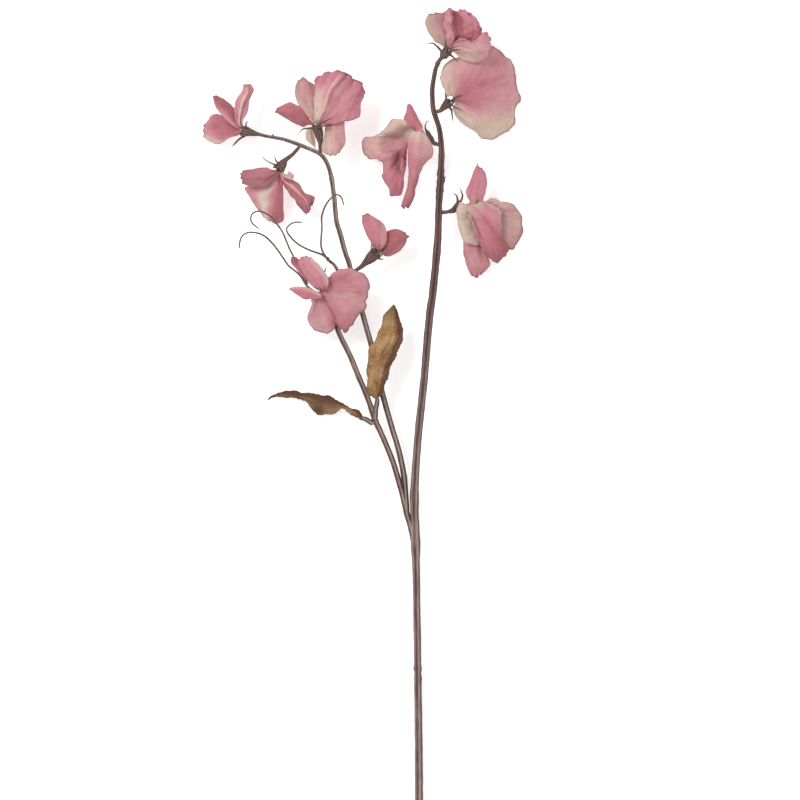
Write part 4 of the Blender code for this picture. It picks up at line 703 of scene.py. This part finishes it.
def petal(node, cage, mouth, seed):
    """A ruffled petal over a cage, whose claw reaches most of the way back to the mouth of its calyx."""
    look = LOOKS[node]
    cage = np.array(cage, float)
    cage[..., 2] *= DEPTH
    mouth = np.array(mouth, float) * (1, 1, DEPTH)
    claw = mouth + (cage[0] - mouth) * CLAW_REACH
    cage = np.concatenate([[claw], cage])
    coarse = surface(cage, np.linspace(0, 1, 24), np.linspace(0, 1, 24))
    width, length = sheet_lengths(coarse)
    nu = int(np.clip(width / PETAL_CELL, 26, 130))
    nv = int(np.clip(length / PETAL_CELL, 30, 80))
    u, v = np.linspace(0, 1, nu), np.linspace(0, 1, nv)
    points = surface(cage, u, v)

    # An uneven outline: the rim is pulled in here and there.
    seeds = np.stack([u * width / 5.5, np.full(nu, seed * 3.7), np.zeros(nu)], 1)
    notch = 0.028 * (fractal(seeds, seed, 3) - 0.6)
    reach = np.clip(v[:, None] * (1 + np.minimum(notch, 0) * v[:, None] ** 2), 0, 1)
    points = np.stack([smooth(points[:, c], reach[:, c]) for c in range(nu)], axis=1)
    normals = upward_normals(points)

    uu, vv = np.broadcast_to(u, (nv, nu)), np.broadcast_to(v[:, None], (nv, nu))
    if node in FANS:
        edge = vv
        turn = uu
    else:
        side = np.abs(2 * uu - 1)
        edge = np.maximum(side**1.5 * np.clip(vv * 3, 0, 1), vv)
        turn = np.arctan2(uu - 0.5, 1.05 - vv * 0.6) / math.pi + 0.5
        turn = uu * vv + turn * (1 - vv)
    flat = points.reshape(-1, 3)
    slow = fractal(flat / 14 + seed, seed, 2).reshape(nv, nu)
    wrinkle = fractal(flat / 4.2 + seed, seed + 9, 3).reshape(nv, nu)
    threads = np.stack([uu.ravel() * width / 2.6, vv.ravel() * length / 16, uu.ravel() * 0 + seed], 1)
    streak = fractal(threads, seed + 5, 3).reshape(nv, nu)
    waves, height = look.ruffle
    phase = 2 * math.pi * waves * turn + 1.2 * slow + seed
    ruffle = height * (np.sin(phase) + 0.4 * np.sin(2.3 * phase + 1.3)) * edge**3 * (0.75 + 0.4 * slow)
    pleats, fold = look.pleat
    near = np.clip(vv * 6, 0, 1) * (1 - vv) ** 1.3
    pleat = fold * np.cos(2 * math.pi * (pleats * uu + 0.22 * slow)) * near * 1.6
    rim = np.clip((edge - 0.84) / 0.16, 0, 1)
    curl = look.curl * rim**2 * (0.6 + 0.6 * slow)
    lift = ruffle + pleat + curl + look.wave * slow * np.clip(vv * 3, 0, 1)
    # Creases are sharp lines where smooth noise crosses zero, as in a pressed petal.
    crease = 1 - np.abs(fractal(flat / 9 + 3.3 * seed, seed + 17, 2)).reshape(nv, nu) * 3.2
    crease = np.clip(crease, 0, 1) ** 2
    crease = crease * np.clip(look.crumple - 0.75, 0, 1)
    billow = fractal(flat / 7.5 + seed, seed + 23, 2).reshape(nv, nu)
    lift = lift + 1.5 * np.clip(look.crumple - 1.05, 0, 1) * billow * np.clip(vv * 4, 0, 1)
    lift = lift + look.crumple * (0.42 * wrinkle + 0.24 * streak - 0.5 * crease) * np.clip(vv * 5, 0, 1)
    points = points + normals * lift[..., None]

    tint = np.array(look.tint, float) / 10
    tint = smooth(tint.T[..., None], u)[..., 0]
    tint = smooth(tint.T[..., None], v)[..., 0].reshape(nv, nu)
    # The pale line is partly the petal's own paler band and partly a painted highlight along a ridge.
    if look.seam:
        at, half, strength = look.seam
        line = np.exp(-(((uu + 0.02 * slow - at) / half) ** 2))
        tint = tint - strength * line * np.clip((1 - vv) * 6, 0, 1)
    # Painted shade: the creases are tinted deeper; slow and streak vary the tint at random.
    tint = tint + 0.12 * slow + 0.09 * streak + 0.12 * crease
    values = {
        "tint": np.clip(tint, 0, 1.5) / 1.5, "edge": edge, "claw": 1 - vv, "crease": crease,
        "dull": np.full((nv, nu), look.dull),
    }
    return sheet_object(node, points, uu, vv, (width, length), values, PETAL_SKIN, PETAL_LOWEST)


def frames_along(path):
    """Tangents, side vectors and up vectors of a line of points."""
    tangent = unit(np.gradient(path, axis=0))
    side = unit(np.cross(tangent, (0, 0, 1)))
    return tangent, side, np.cross(side, tangent)


def ring_at(i, frames, angle, radius):
    """A ring of points round place i of a line, from its radius at each angle."""
    across, up = frames[1][i], frames[2][i]
    return (np.cos(angle) * radius)[:, None] * across + (np.sin(angle) * radius)[:, None] * up


def tube(rings, angle):
    """A closed tube as (points, faces, attributes). A ring is (points, groove, distance along, cut)."""
    count, sides = len(rings), len(angle)
    points, groove, along, cut = zip(*rings)
    faces = grid_faces(count, sides, wrap=True)
    faces += [tuple(range(sides))[::-1], tuple((count - 1) * sides + k for k in range(sides))]
    return np.concatenate(points), faces, {
        "groove": np.concatenate(groove), "along": np.repeat(along, sides), "cut": np.repeat(cut, sides),
        # flank_shade: painted shade, strongest on the rod's two level sides.
        "flank_shade": np.tile(np.abs(np.cos(angle)) ** 6, count),
    }


def raised(route):
    """A route or cup table as an array, with its heights multiplied by DEPTH."""
    route = np.array(route, float)
    route[:, 2] *= DEPTH
    return route


# The rings that close a rod's end: how far out each one is, and its size, as shares of the rod's radius.
ROUND_CAPS = ((0.35, 0.88), (0.65, 0.62), (0.85, 0.25))
CUT_CAPS = ((0.02, 0.97), (0.04, 0.6), (0.05, 0.2))


def sweep(route, step, sides, ribs=0, depth=0.0, twist=0.0, rough=0.05, knots=(), seed=0, cut=False):
    """A closed ribbed rod along a route of (x, y, z, radius) points. Knots are (place, swelling, reach)."""
    route = raised(route)
    length = np.linalg.norm(np.diff(route[:, :3], axis=0), axis=1).sum()
    count = max(6, int(length / step))
    line = smooth(route, np.linspace(0, 1, count))
    path, radius = line[:, :3], np.maximum(line[:, 3], 0.08)
    along = np.concatenate([[0], np.cumsum(np.linalg.norm(np.diff(path, axis=0), axis=1))])
    for at, size, reach in knots:
        radius = radius * (1 + size * np.exp(-(((along - at) / reach) ** 2)))
    frames = frames_along(path)

    def end(i, sign):
        """Three more rings at an end, each smaller and further out, or nearly flat at a cut."""
        caps = CUT_CAPS if cut and i == 0 else ROUND_CAPS
        out = sign * frames[0][i] * radius[i]
        return [(path[i] + out * far, radius[i] * share, i) for far, share in caps]

    places = end(0, -1)[::-1] + [(path[i], radius[i], i) for i in range(count)] + end(count - 1, 1)
    angle = np.linspace(0, 2 * math.pi, sides, endpoint=False)
    rings = []
    for centre, r, i in places:
        lobes = np.cos(ribs * angle + twist * along[i]) if ribs else np.zeros(sides)
        where = np.stack([np.cos(angle) * 1.3, np.sin(angle) * 1.3, np.full(sides, along[i] / 5.0)], 1)
        bumps = fractal(where + seed * 5.1, seed + 31, 3)
        size = r * (1 + depth * lobes + rough * bumps)
        at_cut = float(r < radius[i] * 0.99 and i == 0)
        ring = centre + ring_at(i, frames, angle, size)
        rings.append((ring, 0.5 + 0.5 * lobes, along[i], at_cut))
    return tube(rings, angle)


def rod_piece(node, parts, material):
    """Places one piece made of several tubes, each (points, faces, attributes)."""
    verts, faces, attributes, start = [], [], {}, 0
    for points, quads, values in parts:
        verts.append(points)
        faces += [tuple(i + start for i in face) for face in quads]
        for key in values:
            attributes.setdefault(key, []).append(values[key])
        start += len(points)
    attributes = {key: np.concatenate(values) for key, values in attributes.items()}
    uv = np.stack([attributes["groove"] * 0.004, attributes["along"] * MM], 1)
    obj = make_object(node + "_skin", np.concatenate(verts) * MM, faces, attributes, uv)
    place_piece(obj, node, material)


def hair(base, tip, radius):
    """A thin hair or wisp from base to tip, bent a little."""
    base, tip = np.array(base, float), np.array(tip, float)
    middle = (base + tip) / 2 + (0.3, 0.2, 0.25)
    return sweep([(*base, radius), (*middle, radius * 0.7), (*tip, 0.08)], 0.5, 6, rough=0.0)


def bell(cup, seed):
    """The cup of a calyx: a ribbed bell on its stalk, with short teeth round an open mouth."""
    count, sides = 44, 50
    t = np.linspace(0, 1, count)
    line = smooth(raised(cup), t)
    path, radius = line[:, :3], line[:, 3]
    frames = frames_along(path)
    tangent = frames[0]
    angle = np.linspace(0, 2 * math.pi, sides, endpoint=False)
    places = [(path[0] - tangent[0] * radius[0] * 0.5, radius[0] * 0.5, 0, 0.0)]
    for i in range(count):
        swell = 1 + 0.10 * math.exp(-(((t[i] - 0.72) / 0.1) ** 2))
        places.append((path[i], radius[i] * swell, i, max(0.0, (t[i] - 0.8) / 0.2)))
    last = count - 1
    # The lip turns in and the inner wall goes back down the cup: (way out, share of the radius, tooth).
    for out, share, tooth in ((0.25, 0.93, 1.0), (-0.4, 0.84, 0.8), (-2.2, 0.62, 0.0), (-3.0, 0.25, 0.0)):
        places.append((path[last] + tangent[last] * out, radius[last] * share, last, tooth))
    rings = []
    for centre, r, i, tooth in places:
        ribs = np.cos(10 * angle)
        where = np.stack([np.cos(angle) * 1.4, np.sin(angle) * 1.4, np.full(sides, i / 7)], 1)
        rough = fractal(where, seed + 3, 2)
        size = r * (1 + 0.03 * ribs * min(1, t[i] * 2) + 0.07 * rough)
        reach = 1.9 * tooth**2 * np.maximum(0, np.cos(5 * angle + seed)) ** 0.8
        ring = centre + ring_at(i, frames, angle, size) + tangent[i] * reach[:, None]
        rings.append((ring, 0.5 + 0.5 * ribs, t[i] * 12, 0.0))
    return tube(rings, angle)


def sepal(route, seed):
    """A thin pointed blade with a raised middle rib, along a route of (x, y, z, half width) points."""
    count, sides = 40, 14
    t = np.linspace(0, 1, count)
    line = smooth(raised(route), t)
    path, half = line[:, :3], np.maximum(line[:, 3], 0.12)
    _, side, up = frames_along(path)
    half = half * 0.48 * (1 + 0.35 * np.sin(math.pi * t)) * np.clip((1.02 - t) * 5, 0.2, 1)
    wobble = fractal(np.stack([t * 4, np.full(count, seed * 1.3), np.zeros(count)], 1), seed, 2)
    angle = np.linspace(0, 2 * math.pi, sides, endpoint=False)
    # The blade curls up and over towards its tip.
    path = path + up * (1.1 * np.sin(math.pi * t) * wobble)[:, None]
    path = path + side * (0.9 * t**2 * wobble[::-1])[:, None]
    rings = []
    for i in range(count):
        thick = 0.2 + 0.2 * (1 - t[i])
        keel = 0.45 * (1 - np.abs(np.cos(angle))) * (1 - 0.6 * t[i])
        x = np.cos(angle) * half[i]
        z = np.sin(angle) * thick + keel - 0.25 * half[i] * np.cos(angle) ** 2 + 0.35 * wobble[i]
        ring = path[i] + x[:, None] * side[i] + z[:, None] * up[i]
        rings.append((ring, 1 - np.abs(np.cos(angle)), 12 + t[i] * 10, 0.0))
    return tube(rings, angle)


def leaf(node, cage, stalk_end, seed, fold_at, dark):
    """A dry leaf blade: faint ribs, lengthwise folds, and a dark strip beyond fold_at that curls over."""
    cage, stalk_end = np.array(cage, float), np.array(stalk_end)
    # The blade narrows to the end of its stalk.
    cage = np.concatenate([[stalk_end + (cage[0] - stalk_end) * (0.45, 0.3, 0.3)], cage])
    cage[..., 2] *= DEPTH
    width, length = sheet_lengths(surface(cage, np.linspace(0, 1, 20), np.linspace(0, 1, 30)))
    nu, nv = int(np.clip(width / LEAF_CELL[0], 40, 70)), int(np.clip(length / LEAF_CELL[1], 60, 150))
    u, v = np.linspace(0, 1, nu), np.linspace(0, 1, nv)
    points = surface(cage, u, v)
    normals = upward_normals(points)
    uu, vv = np.broadcast_to(u, (nv, nu)), np.broadcast_to(v[:, None], (nv, nu))
    side = np.abs(2 * uu - 1)
    flat = points.reshape(-1, 3)
    slow = fractal(flat / 11 + seed, seed, 2).reshape(nv, nu)
    wrinkle = fractal(flat / 3.0 + seed, seed + 4, 3).reshape(nv, nu)
    ribs = np.cos(2 * math.pi * (vv * length / 3.2 - side * 1.9 + 0.3 * slow))
    threads = np.stack([uu.ravel() * width / 1.5, vv.ravel() * length / 20, uu.ravel() * 0 + seed], 1)
    lines = fractal(threads, seed, 3).reshape(nv, nu)
    beyond = np.clip((uu - fold_at) / (1 - fold_at), 0, 1)
    pleat = np.cos(2 * math.pi * (5 * uu + 0.3 * slow)) * np.clip(1 - vv * 2.5, 0, 1)
    ruffle = np.sin(2 * math.pi * (vv * length / 13 + 0.4 * (uu > 0.5)) + 2 * slow) * side**3
    curl = np.clip((side - 0.8) / 0.2, 0, 1) ** 2
    body = np.clip(vv * 8, 0, 1) * np.clip((1 - vv) * 8, 0, 1)
    lift = -0.35 * np.exp(-((side / 0.09) ** 2)) + 0.2 * ribs * side**0.5 + 0.4 * pleat + 0.6 * ruffle
    lift = lift - 0.7 * np.exp(-(((uu - fold_at) / 0.035) ** 2)) + 0.45 * lines + 1.3 * beyond**1.5
    lift = (lift + 1.0 * curl * (0.5 + slow) + 0.7 * slow + 0.5 * wrinkle) * body
    points = points + normals * lift[..., None]
    midrib = np.exp(-(((uu - 0.52 - 0.05 * slow) / 0.035) ** 2)) * np.exp(-(((vv - 0.55) / 0.14) ** 2))
    values = {
        "edge": side, "along": vv, "rib": (0.5 + 0.5 * ribs) * np.clip(1 - beyond * 3, 0, 1),
        # fold: the strip that curls over beyond fold_at, painted dark as painted shade.
        "fold": np.clip(beyond * 4 + 0.4 * slow * (beyond > 0), 0, 1),
        "midrib": midrib,
        "dark": np.clip(dark * (1 + 1.2 * slow), 0, 1),
    }
    return sheet_object(node, points, uu, vv, (width, length), values, LEAF_SKIN, LEAF_LOWEST)


# Materials.


class Graph:
    """Short calls for building one material's nodes."""

    def __init__(self, name):
        self.material = bpy.data.materials.new(name)
        self.material.use_nodes = True
        self.tree = self.material.node_tree
        self.shader = self.tree.nodes["Principled BSDF"]
        self.object_place = self.tree.nodes.new("ShaderNodeTexCoord").outputs["Object"]
        self.uv = self.tree.nodes.new("ShaderNodeUVMap").outputs["UV"]

    def put(self, value, socket):
        if isinstance(value, bpy.types.NodeSocket):
            self.tree.links.new(value, socket)
        else:
            socket.default_value = value

    def attribute(self, name):
        node = self.tree.nodes.new("ShaderNodeAttribute")
        node.attribute_name = name
        return node.outputs["Fac"]

    def math(self, operation, a, b=0.0, clamp=False):
        node = self.tree.nodes.new("ShaderNodeMath")
        node.operation = operation
        node.use_clamp = clamp
        self.put(a, node.inputs[0])
        self.put(b, node.inputs[1])
        return node.outputs[0]

    def times(self, a, b):
        return self.math("MULTIPLY", a, b)

    def above(self, value, start, gain, clamp=False):
        """How far value is above start, times gain."""
        return self.math("MULTIPLY", self.math("SUBTRACT", value, start), gain, clamp)

    def at(self, node, source, stretch):
        """Feeds a texture node with a place, stretched if asked."""
        if stretch:
            mapping = self.tree.nodes.new("ShaderNodeMapping")
            mapping.inputs["Scale"].default_value = stretch
            self.put(source, mapping.inputs["Vector"])
            source = mapping.outputs["Vector"]
        self.put(source, node.inputs["Vector"])

    def noise(self, scale, detail=2.0, where=None, stretch=None, distortion=0.0):
        node = self.tree.nodes.new("ShaderNodeTexNoise")
        node.inputs["Scale"].default_value = scale
        node.inputs["Detail"].default_value = detail
        node.inputs["Distortion"].default_value = distortion
        self.at(node, where or self.object_place, stretch)
        return node.outputs["Fac"]

    def cells(self, scale, where, stretch):
        node = self.tree.nodes.new("ShaderNodeTexVoronoi")
        node.feature = "DISTANCE_TO_EDGE"
        node.inputs["Scale"].default_value = scale
        self.at(node, where, stretch)
        return node.outputs["Distance"]

    def ramp(self, value, stops):
        node = self.tree.nodes.new("ShaderNodeValToRGB")
        ramp = node.color_ramp
        while len(ramp.elements) < len(stops):
            ramp.elements.new(0.5)
        for element, (at, colour) in zip(ramp.elements, stops):
            element.position = at
            element.color = (*colour, 1)
        self.put(value, node.inputs["Fac"])
        return node.outputs["Color"]

    def mix(self, amount, a, b):
        node = self.tree.nodes.new("ShaderNodeMix")
        node.data_type = "RGBA"
        self.put(amount, node.inputs[0])
        self.put(a if isinstance(a, bpy.types.NodeSocket) else (*a, 1), node.inputs[6])
        self.put(b if isinstance(b, bpy.types.NodeSocket) else (*b, 1), node.inputs[7])
        return node.outputs[2]

    def paint(self, colour, amount, share, other):
        """The colour, mixed with another by share of the amount."""
        return self.mix(self.times(amount, share), colour, other)

    def bump(self, height, distance, strength=1.0, after=None):
        node = self.tree.nodes.new("ShaderNodeBump")
        node.inputs["Distance"].default_value = distance
        node.inputs["Strength"].default_value = strength
        self.put(height, node.inputs["Height"])
        if after is not None:
            self.put(after, node.inputs["Normal"])
        return node.outputs["Normal"]

    def finish(self, colour, roughness, normal):
        self.put(colour, self.shader.inputs["Base Color"])
        self.put(roughness, self.shader.inputs["Roughness"])
        self.put(normal, self.shader.inputs["Normal"])
        return self.material


def petal_material(name):
    g = Graph(name)
    blotch = g.noise(75, 3.0)
    grain = g.noise(900, 2.0)
    veins = g.noise(1.0, 4.0, g.uv, (1300, 90, 1), distortion=0.9)
    tint = g.math("ADD", g.attribute("tint"), g.above(blotch, 0.5, 0.22))
    tint = g.math("ADD", tint, g.above(veins, 0.5, 0.16), clamp=True)
    colour = g.ramp(tint, [
        (0.0, (0.61, 0.495, 0.395)), (0.2, (0.60, 0.395, 0.34)), (0.4, (0.57, 0.27, 0.29)),
        (0.66, (0.50, 0.152, 0.2)), (1.0, (0.32, 0.065, 0.085)),
    ])
    colour = g.paint(colour, g.math("GREATER_THAN", veins, 0.58), 0.10, (0.42, 0.16, 0.18))
    dusk = g.above(g.noise(150, 3.0), 0.5, 3.0, clamp=True)
    colour = g.paint(colour, dusk, 0.22, (0.16, 0.06, 0.06))
    speck = g.above(grain, 0.5, 0.5)
    colour = g.paint(colour, g.math("ADD", speck, 0.12, clamp=True), 0.6, (0.78, 0.62, 0.56))
    colour = g.mix(g.attribute("dull"), colour, (0.22, 0.13, 0.12))
    line = g.above(g.attribute("edge"), 0.945, 20.0, clamp=True)
    colour = g.paint(colour, line, 0.72, (0.21, 0.095, 0.105))
    # Painted shade in the creases.
    colour = g.paint(colour, g.attribute("crease"), 0.16, (0.34, 0.10, 0.13))
    claw = g.above(g.attribute("claw"), 0.84, 5.0, clamp=True)
    colour = g.paint(colour, claw, 0.7, (0.40, 0.33, 0.20))
    roughness = g.math("ADD", 0.62, g.times(veins, 0.25))
    normal = g.bump(veins, 0.0006, 0.55)
    normal = g.bump(g.noise(260, 3.0), 0.0007, 0.5, normal)
    normal = g.bump(g.noise(2600, 1.0), 0.0002, 0.5, normal)
    g.shader.inputs["Sheen Weight"].default_value = 0.12
    g.shader.inputs["Sheen Roughness"].default_value = 0.45
    g.shader.inputs["Specular IOR Level"].default_value = 0.2
    return g.finish(colour, roughness, normal)


def stem_material(name, light, dark, groove_share=1.0, age=None):
    """A grooved rod's finish. With age = (start, reach) in mm, it turns redder and darker along that."""
    g = Graph(name)
    lines = g.noise(1.0, 2.0, g.object_place, (900, 55, 900))
    blotch = g.noise(55, 3.0)
    # Ridges lighter and grooves darker: partly the rod's own stripes, partly a painted highlight on the
    # ridges and painted shade in the grooves.
    ridge = g.math("POWER", g.attribute("groove"), 1.4)
    amount = g.times(ridge, 0.95 * groove_share)
    amount = g.math("ADD", amount, g.above(lines, 0.5, 1.3))
    amount = g.math("ADD", amount, g.above(blotch, 0.5, 0.8), clamp=True)
    colour = g.mix(amount, dark, light)
    if age:
        along = g.above(g.attribute("along"), age[0], 1 / age[1], clamp=True)
        colour = g.paint(colour, along, 0.9, g.mix(amount, (0.035, 0.014, 0.012), (0.17, 0.085, 0.07)))
    # Painted shade on the rod's two level sides.
    colour = g.paint(colour, g.attribute("flank_shade"), 0.75, tuple(0.7 * c for c in dark))
    speck = g.above(g.noise(800, 2.0), 0.62, 3.0, clamp=True)
    colour = g.paint(colour, speck, 0.5, tuple(0.55 * c for c in dark))
    colour = g.mix(g.attribute("cut"), colour, (0.36, 0.27, 0.19))
    roughness = g.math("ADD", 0.48, g.times(blotch, 0.3))
    normal = g.bump(lines, 0.0008, 0.5)
    normal = g.bump(g.noise(500, 3.0), 0.0004, 0.5, normal)
    g.shader.inputs["Specular IOR Level"].default_value = 0.35
    return g.finish(colour, roughness, normal)


def leaf_material(name):
    g = Graph(name)
    mesh_veins = g.cells(600, g.uv, (1.8, 0.7, 1))
    vein = g.math("SUBTRACT", 1.0, g.times(mesh_veins, 8.0), clamp=True)
    streaks = g.noise(1.0, 3.0, g.uv, (1100, 60, 1), distortion=0.5)
    blotch = g.noise(90, 4.0)
    patch = g.noise(38, 3.0)
    golds = [(0.3, (0.22, 0.11, 0.045)), (0.5, (0.44, 0.25, 0.105)), (0.7, (0.60, 0.39, 0.20))]
    colour = g.ramp(blotch, golds)
    colour = g.paint(colour, vein, 0.45, (0.15, 0.07, 0.03))
    colour = g.paint(colour, g.attribute("rib"), 0.22, (0.46, 0.30, 0.13))
    furrow = g.above(streaks, 0.5, 4.0, clamp=True)
    colour = g.paint(colour, furrow, 0.5, (0.15, 0.065, 0.03))
    stain = g.above(patch, 0.55, 5.0, clamp=True)
    colour = g.paint(colour, stain, 0.6, (0.13, 0.05, 0.025))
    colour = g.mix(g.attribute("dark"), colour, (0.12, 0.06, 0.035))
    # Painted shade on the strip that curls over beyond the fold.
    colour = g.paint(colour, g.attribute("fold"), 0.85, (0.12, 0.045, 0.03))
    rim = g.above(g.attribute("edge"), 0.9, 9.0, clamp=True)
    colour = g.paint(colour, rim, 0.6, (0.11, 0.045, 0.025))
    colour = g.paint(colour, g.attribute("midrib"), 0.7, (0.10, 0.045, 0.03))
    tip = g.above(g.attribute("along"), 0.8, 5.0, clamp=True)
    colour = g.paint(colour, tip, 0.6, (0.09, 0.05, 0.035))
    roughness = g.math("ADD", 0.5, g.times(blotch, 0.35))
    normal = g.bump(vein, 0.0005, 0.5)
    normal = g.bump(streaks, 0.0008, 0.6, normal)
    normal = g.bump(g.noise(420, 4.0), 0.0006, 0.5, normal)
    g.shader.inputs["Specular IOR Level"].default_value = 0.25
    return g.finish(colour, roughness, normal)


def floor_material():
    g = Graph("floor_card")
    tone = g.noise(3.0, 3.0)
    colour = g.ramp(tone, [(0.3, (0.93, 0.93, 0.93)), (0.7, (0.96, 0.96, 0.96))])
    roughness = g.math("ADD", 0.85, g.times(tone, 0.1))
    normal = g.bump(g.noise(900, 2.0), 0.00005, 0.2)
    g.shader.inputs["Specular IOR Level"].default_value = 0.0
    g.shader.inputs["Emission Color"].default_value = (1, 1, 1, 1)
    g.shader.inputs["Emission Strength"].default_value = 0.42
    return g.finish(colour, roughness, normal)


# The spray.


def shifted(points, place):
    return [(p[0] + place[0], p[1] + place[1], *p[2:]) for p in points]


def rooted(route, reach):
    """The route with one more point before it, so that it starts inside the stem that it grows from."""
    first, second = np.array(route[0]), np.array(route[1])
    back = first + (first - second) * (reach / np.linalg.norm((first - second)[:3]))
    return [tuple(back), *route]


def build_stems(main, upper, tendril):
    """The stems and tendrils. A fork starts inside the stem that it grows from."""
    root = [(42.4, -302.5, 2.12, 3)]
    forks = ((203, 0.22, 9), (218, 0.1, 5), (238, 0.16, 7))
    scars = (
        (24, 0.06, 1.5), (102.5, 0.1, 1.4), (105.5, -0.08, 1.1), (109, 0.13, 1.3), (113, -0.04, 1),
        (424, 0.08, 3), (466, 0.1, 2), (471, 0.22, 2.2), (477, 0.16, 2), (483, 0.1, 1.5), (497, 0.12, 3),
    )
    trunk = sweep(root + MAIN_STEM, 1.3, 40, 5, 0.085, 0.004, 0.05, forks + scars, 1, cut=True)
    # Wisps and scars that stand off the bark.
    wisps = (
        ((60.9, 169.6, 22.6), (61.2, 174.2, 22.8), 1.0), ((56.3, 175, 22.6), (56.2, 179, 22.9), 0.9),
        ((60.6, 176.4, 23), (61.4, 179.2, 23.2), 0.6), ((60.2, 162, 22.5), (64.6, 165.5, 23), 0.16),
        ((59.8, 172, 22.6), (63.2, 173.6, 22.8), 0.5), ((55.2, 133, 20.4), (50.8, 133.6, 20.6), 0.16),
        ((57, 152, 21.5), (60.6, 149, 22), 0.3),
    )
    rod_piece("main_stem", [trunk] + [hair(*wisp) for wisp in wisps], main)
    left = [(38, -99, 7.6, 2), (36, -89, 8.2, 2)] + LEFT_BRANCH
    knots = ((20, 0.1, 4), (96, 0.12, 4), (103, 0.1, 3))
    rod_piece("left_branch", [sweep(left, 1.2, 32, 4, 0.09, 0.01, 0.06, knots, 2)], main)
    arch = [(33.4, -77, 8.7, 1.8), (32.4, -66, 8.8, 2)] + ARCHING_BRANCH
    knots = ((24, 0.1, 4), (256, 0.14, 3))
    stub = hair((-66.5, 202.8, 20.6), (-68.2, 206.2, 20.9), 0.9)
    rod_piece("arching_branch", [sweep(arch, 1.2, 32, 4, 0.09, 0.008, 0.06, knots, 3), stub], upper)
    for k, (name, route) in enumerate(TENDRILS.items()):
        rod = sweep(rooted(route, 2.2), 0.7, 16, 3, 0.08, 0.05, 0.07, (), 10 + k)
        rod_piece(name, [rod], tendril)
    for k, (name, route) in enumerate(LEAF_STALKS.items()):
        knots = tuple((2.2 * n, 0.07, 0.4) for n in range(1, 6))
        rod = sweep(rooted(route, 2.0), 0.3, 20, 4, 0.08, 0.03, 0.05, knots, 20 + k)
        rod_piece(name, [rod], upper)


def build_blossoms(rose, cream, calyx):
    """Each blossom's calyx, then its petals. The seed rises by one for every sepal and petal."""
    seed = 40
    for name, (place, cup, sepals) in BLOSSOMS.items():
        cup = shifted(cup, place)
        root = smooth(np.array(cup), np.array([SEPAL_ROOT]))[0][:3]
        parts = [bell(rooted(cup, 3.0), seed)]
        for route in sepals:
            seed += 1
            parts.append(sepal([(*root, SEPAL_ROOT_WIDTH)] + shifted(route, place), seed))
        rod_piece(name + "_calyx", parts, calyx)
        for node, cage in PETALS.items():
            if not node.startswith(name + "_"):
                continue
            seed += 1
            skin = petal(node, [shifted(row, place) for row in cage], cup[-1][:3], seed)
            slot, finish = ("pale_petal", cream) if node in PALE_PETALS else ("petal", rose)
            place_piece(skin, node, finish)


def build_leaves(material):
    for k, (name, cage) in enumerate(LEAVES.items()):
        # The drooping leaf is folded over further and is darker.
        fold_at, dark = (0.8, 0.0) if name == "upright_leaf" else (0.6, 0.5)
        stalk_end = LEAF_STALKS[name + "_stalk"][-1][:3]
        blade = leaf(name + "_blade", cage, stalk_end, 90 + k, fold_at, dark)
        place_piece(blade, name + "_blade", material)


def add_floor():
    size = 14.0
    verts = [(-size, -size, 0), (size, -size, 0), (size, size, 0), (-size, size, 0)]
    floor = make_object("floor", verts, [(0, 1, 2, 3)], {})
    floor.data.materials.append(floor_material())


def area_light(name, place, target, size, power):
    data = bpy.data.lights.new(name, "AREA")
    data.shape = "DISK"
    data.size = size
    data.energy = power
    lamp = bpy.data.objects.new(name, data)
    lamp.location = place
    lamp.rotation_euler = (Vector(target) - Vector(place)).to_track_quat("-Z", "Y").to_euler()
    bpy.context.scene.collection.objects.link(lamp)


def add_light():
    world = bpy.data.worlds.new("studio")
    world.use_nodes = True
    world.node_tree.nodes["Background"].inputs["Color"].default_value = (1, 1, 1, 1)
    world.node_tree.nodes["Background"].inputs["Strength"].default_value = 0.62
    bpy.context.scene.world = world
    area_light("key", (-1.15, 1.1, 2.6), (0, 0.1, 0), 0.9, 48)
    area_light("fill", (1.8, -0.6, 2.4), (0, 0.1, 0), 2.0, 14)
    bpy.context.scene.view_settings.view_transform = "Standard"


def add_camera():
    """Straight above the spray, far enough to show SHOWN metres across at the height of the blossoms."""
    distance, height = 6.0, 0.032
    data = bpy.data.cameras.new("camera")
    data.sensor_width = 36
    data.lens = 36 * distance / SHOWN
    data.clip_end = 60
    camera = bpy.data.objects.new("camera", data)
    camera.location = (0.0281, 0.006, height + distance)
    bpy.context.scene.collection.objects.link(camera)
    bpy.context.scene.camera = camera


main_finish = stem_material("stem_brown", (0.35, 0.25, 0.215), (0.075, 0.036, 0.03), 1.0, (240, 150))
upper_finish = stem_material("stem_dark", (0.34, 0.26, 0.225), (0.07, 0.035, 0.032))
tendril_finish = stem_material("tendril_brown", (0.24, 0.175, 0.155), (0.085, 0.055, 0.05), 0.6)
calyx_finish = stem_material("calyx_mauve", (0.24, 0.165, 0.125), (0.085, 0.045, 0.04), 0.6)
build_stems(main_finish, upper_finish, tendril_finish)
build_blossoms(petal_material("petal_rose"), petal_material("petal_cream"), calyx_finish)
build_leaves(leaf_material("leaf_gold"))
add_floor()
add_light()
add_camera()
